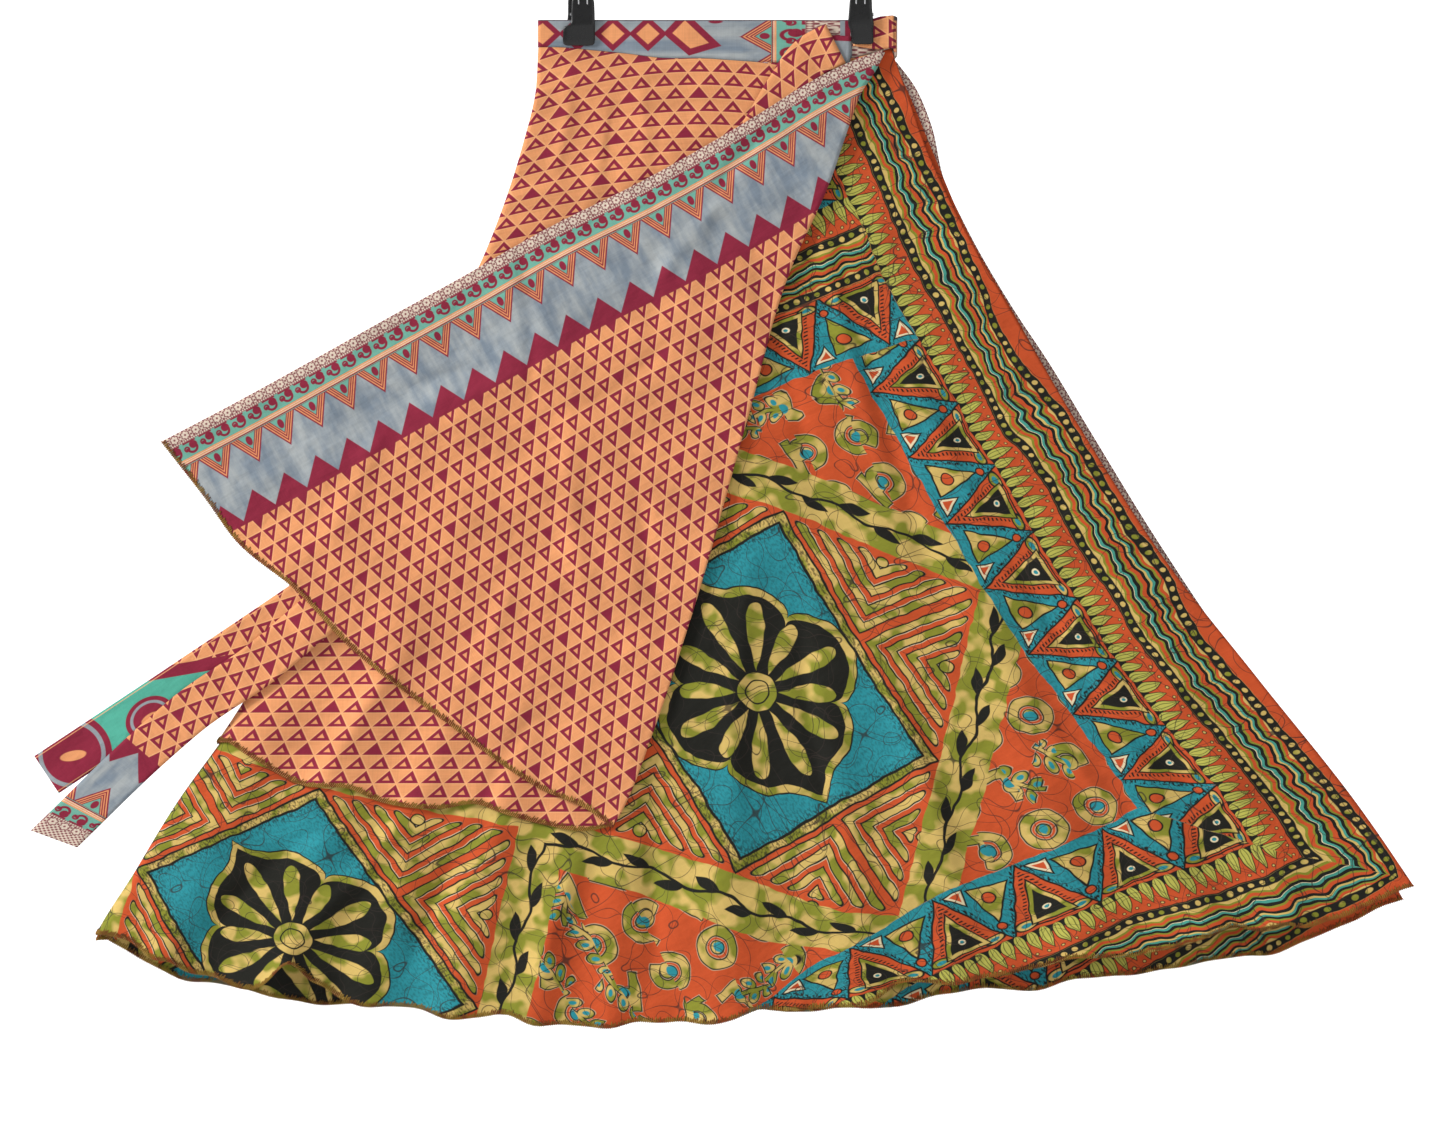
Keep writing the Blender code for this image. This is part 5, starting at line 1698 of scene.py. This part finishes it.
class WRAPSKIRT_OT_long_layer(bpy.types.Operator):
    """Add the long orange layer, front and back, with overlocked hems"""
    bl_idname = "wrap_skirt.long_layer"
    bl_label = "Long Layer"

    def execute(self, context):
        build_long_layer(context.scene.wrap_skirt)
        return {"FINISHED"}


class WRAPSKIRT_OT_short_layer(bpy.types.Operator):
    """Add the short peach layer, its front turned back as a flap, with overlocked hems"""
    bl_idname = "wrap_skirt.short_layer"
    bl_label = "Short Layer"

    def execute(self, context):
        build_short_layer(context.scene.wrap_skirt)
        return {"FINISHED"}


class WRAPSKIRT_OT_hanger(bpy.types.Operator):
    """Add the moulded front jaws and springs, and finish the hanger's other pieces"""
    bl_idname = "wrap_skirt.hanger"
    bl_label = "Hanger"

    def execute(self, context):
        finish_hanger()
        return {"FINISHED"}


class WRAPSKIRT_OT_studio(bpy.types.Operator):
    """Add the camera, floor, backdrop and lamps"""
    bl_idname = "wrap_skirt.studio"
    bl_label = "Studio"

    def execute(self, context):
        build_studio(context.scene.wrap_skirt_studio)
        return {"FINISHED"}


class WRAPSKIRT_PT_panel(bpy.types.Panel):
    """Lists the settings and the pieces"""
    bl_idname = "WRAPSKIRT_PT_panel"
    bl_label = "Wrap Skirt"
    bl_space_type = "VIEW_3D"
    bl_region_type = "UI"
    bl_category = "Wrap Skirt"

    def draw(self, context):
        for settings in (context.scene.wrap_skirt, context.scene.wrap_skirt_studio):
            for name in settings.bl_rna.properties.keys():
                if name not in ("rna_type", "name"):
                    self.layout.prop(settings, name)
        for operator in OPERATORS:
            self.layout.operator(operator.bl_idname)


OPERATORS = (WRAPSKIRT_OT_band_and_ties, WRAPSKIRT_OT_long_layer, WRAPSKIRT_OT_short_layer,
             WRAPSKIRT_OT_hanger, WRAPSKIRT_OT_studio)
CLASSES = (SkirtSettings, StudioSettings, *OPERATORS, WRAPSKIRT_PT_panel)


def register():
    for item in CLASSES:
        bpy.utils.register_class(item)
    bpy.types.Scene.wrap_skirt = bpy.props.PointerProperty(type=SkirtSettings)
    bpy.types.Scene.wrap_skirt_studio = bpy.props.PointerProperty(type=StudioSettings)


def unregister():
    del bpy.types.Scene.wrap_skirt_studio
    del bpy.types.Scene.wrap_skirt
    for item in reversed(CLASSES):
        bpy.utils.unregister_class(item)


def main():
    register()
    bpy.ops.wrap_skirt.band_and_ties()
    bpy.ops.wrap_skirt.long_layer()
    bpy.ops.wrap_skirt.short_layer()
    bpy.ops.wrap_skirt.hanger()
    bpy.ops.wrap_skirt.studio()


if __name__ == "__main__":
    main()
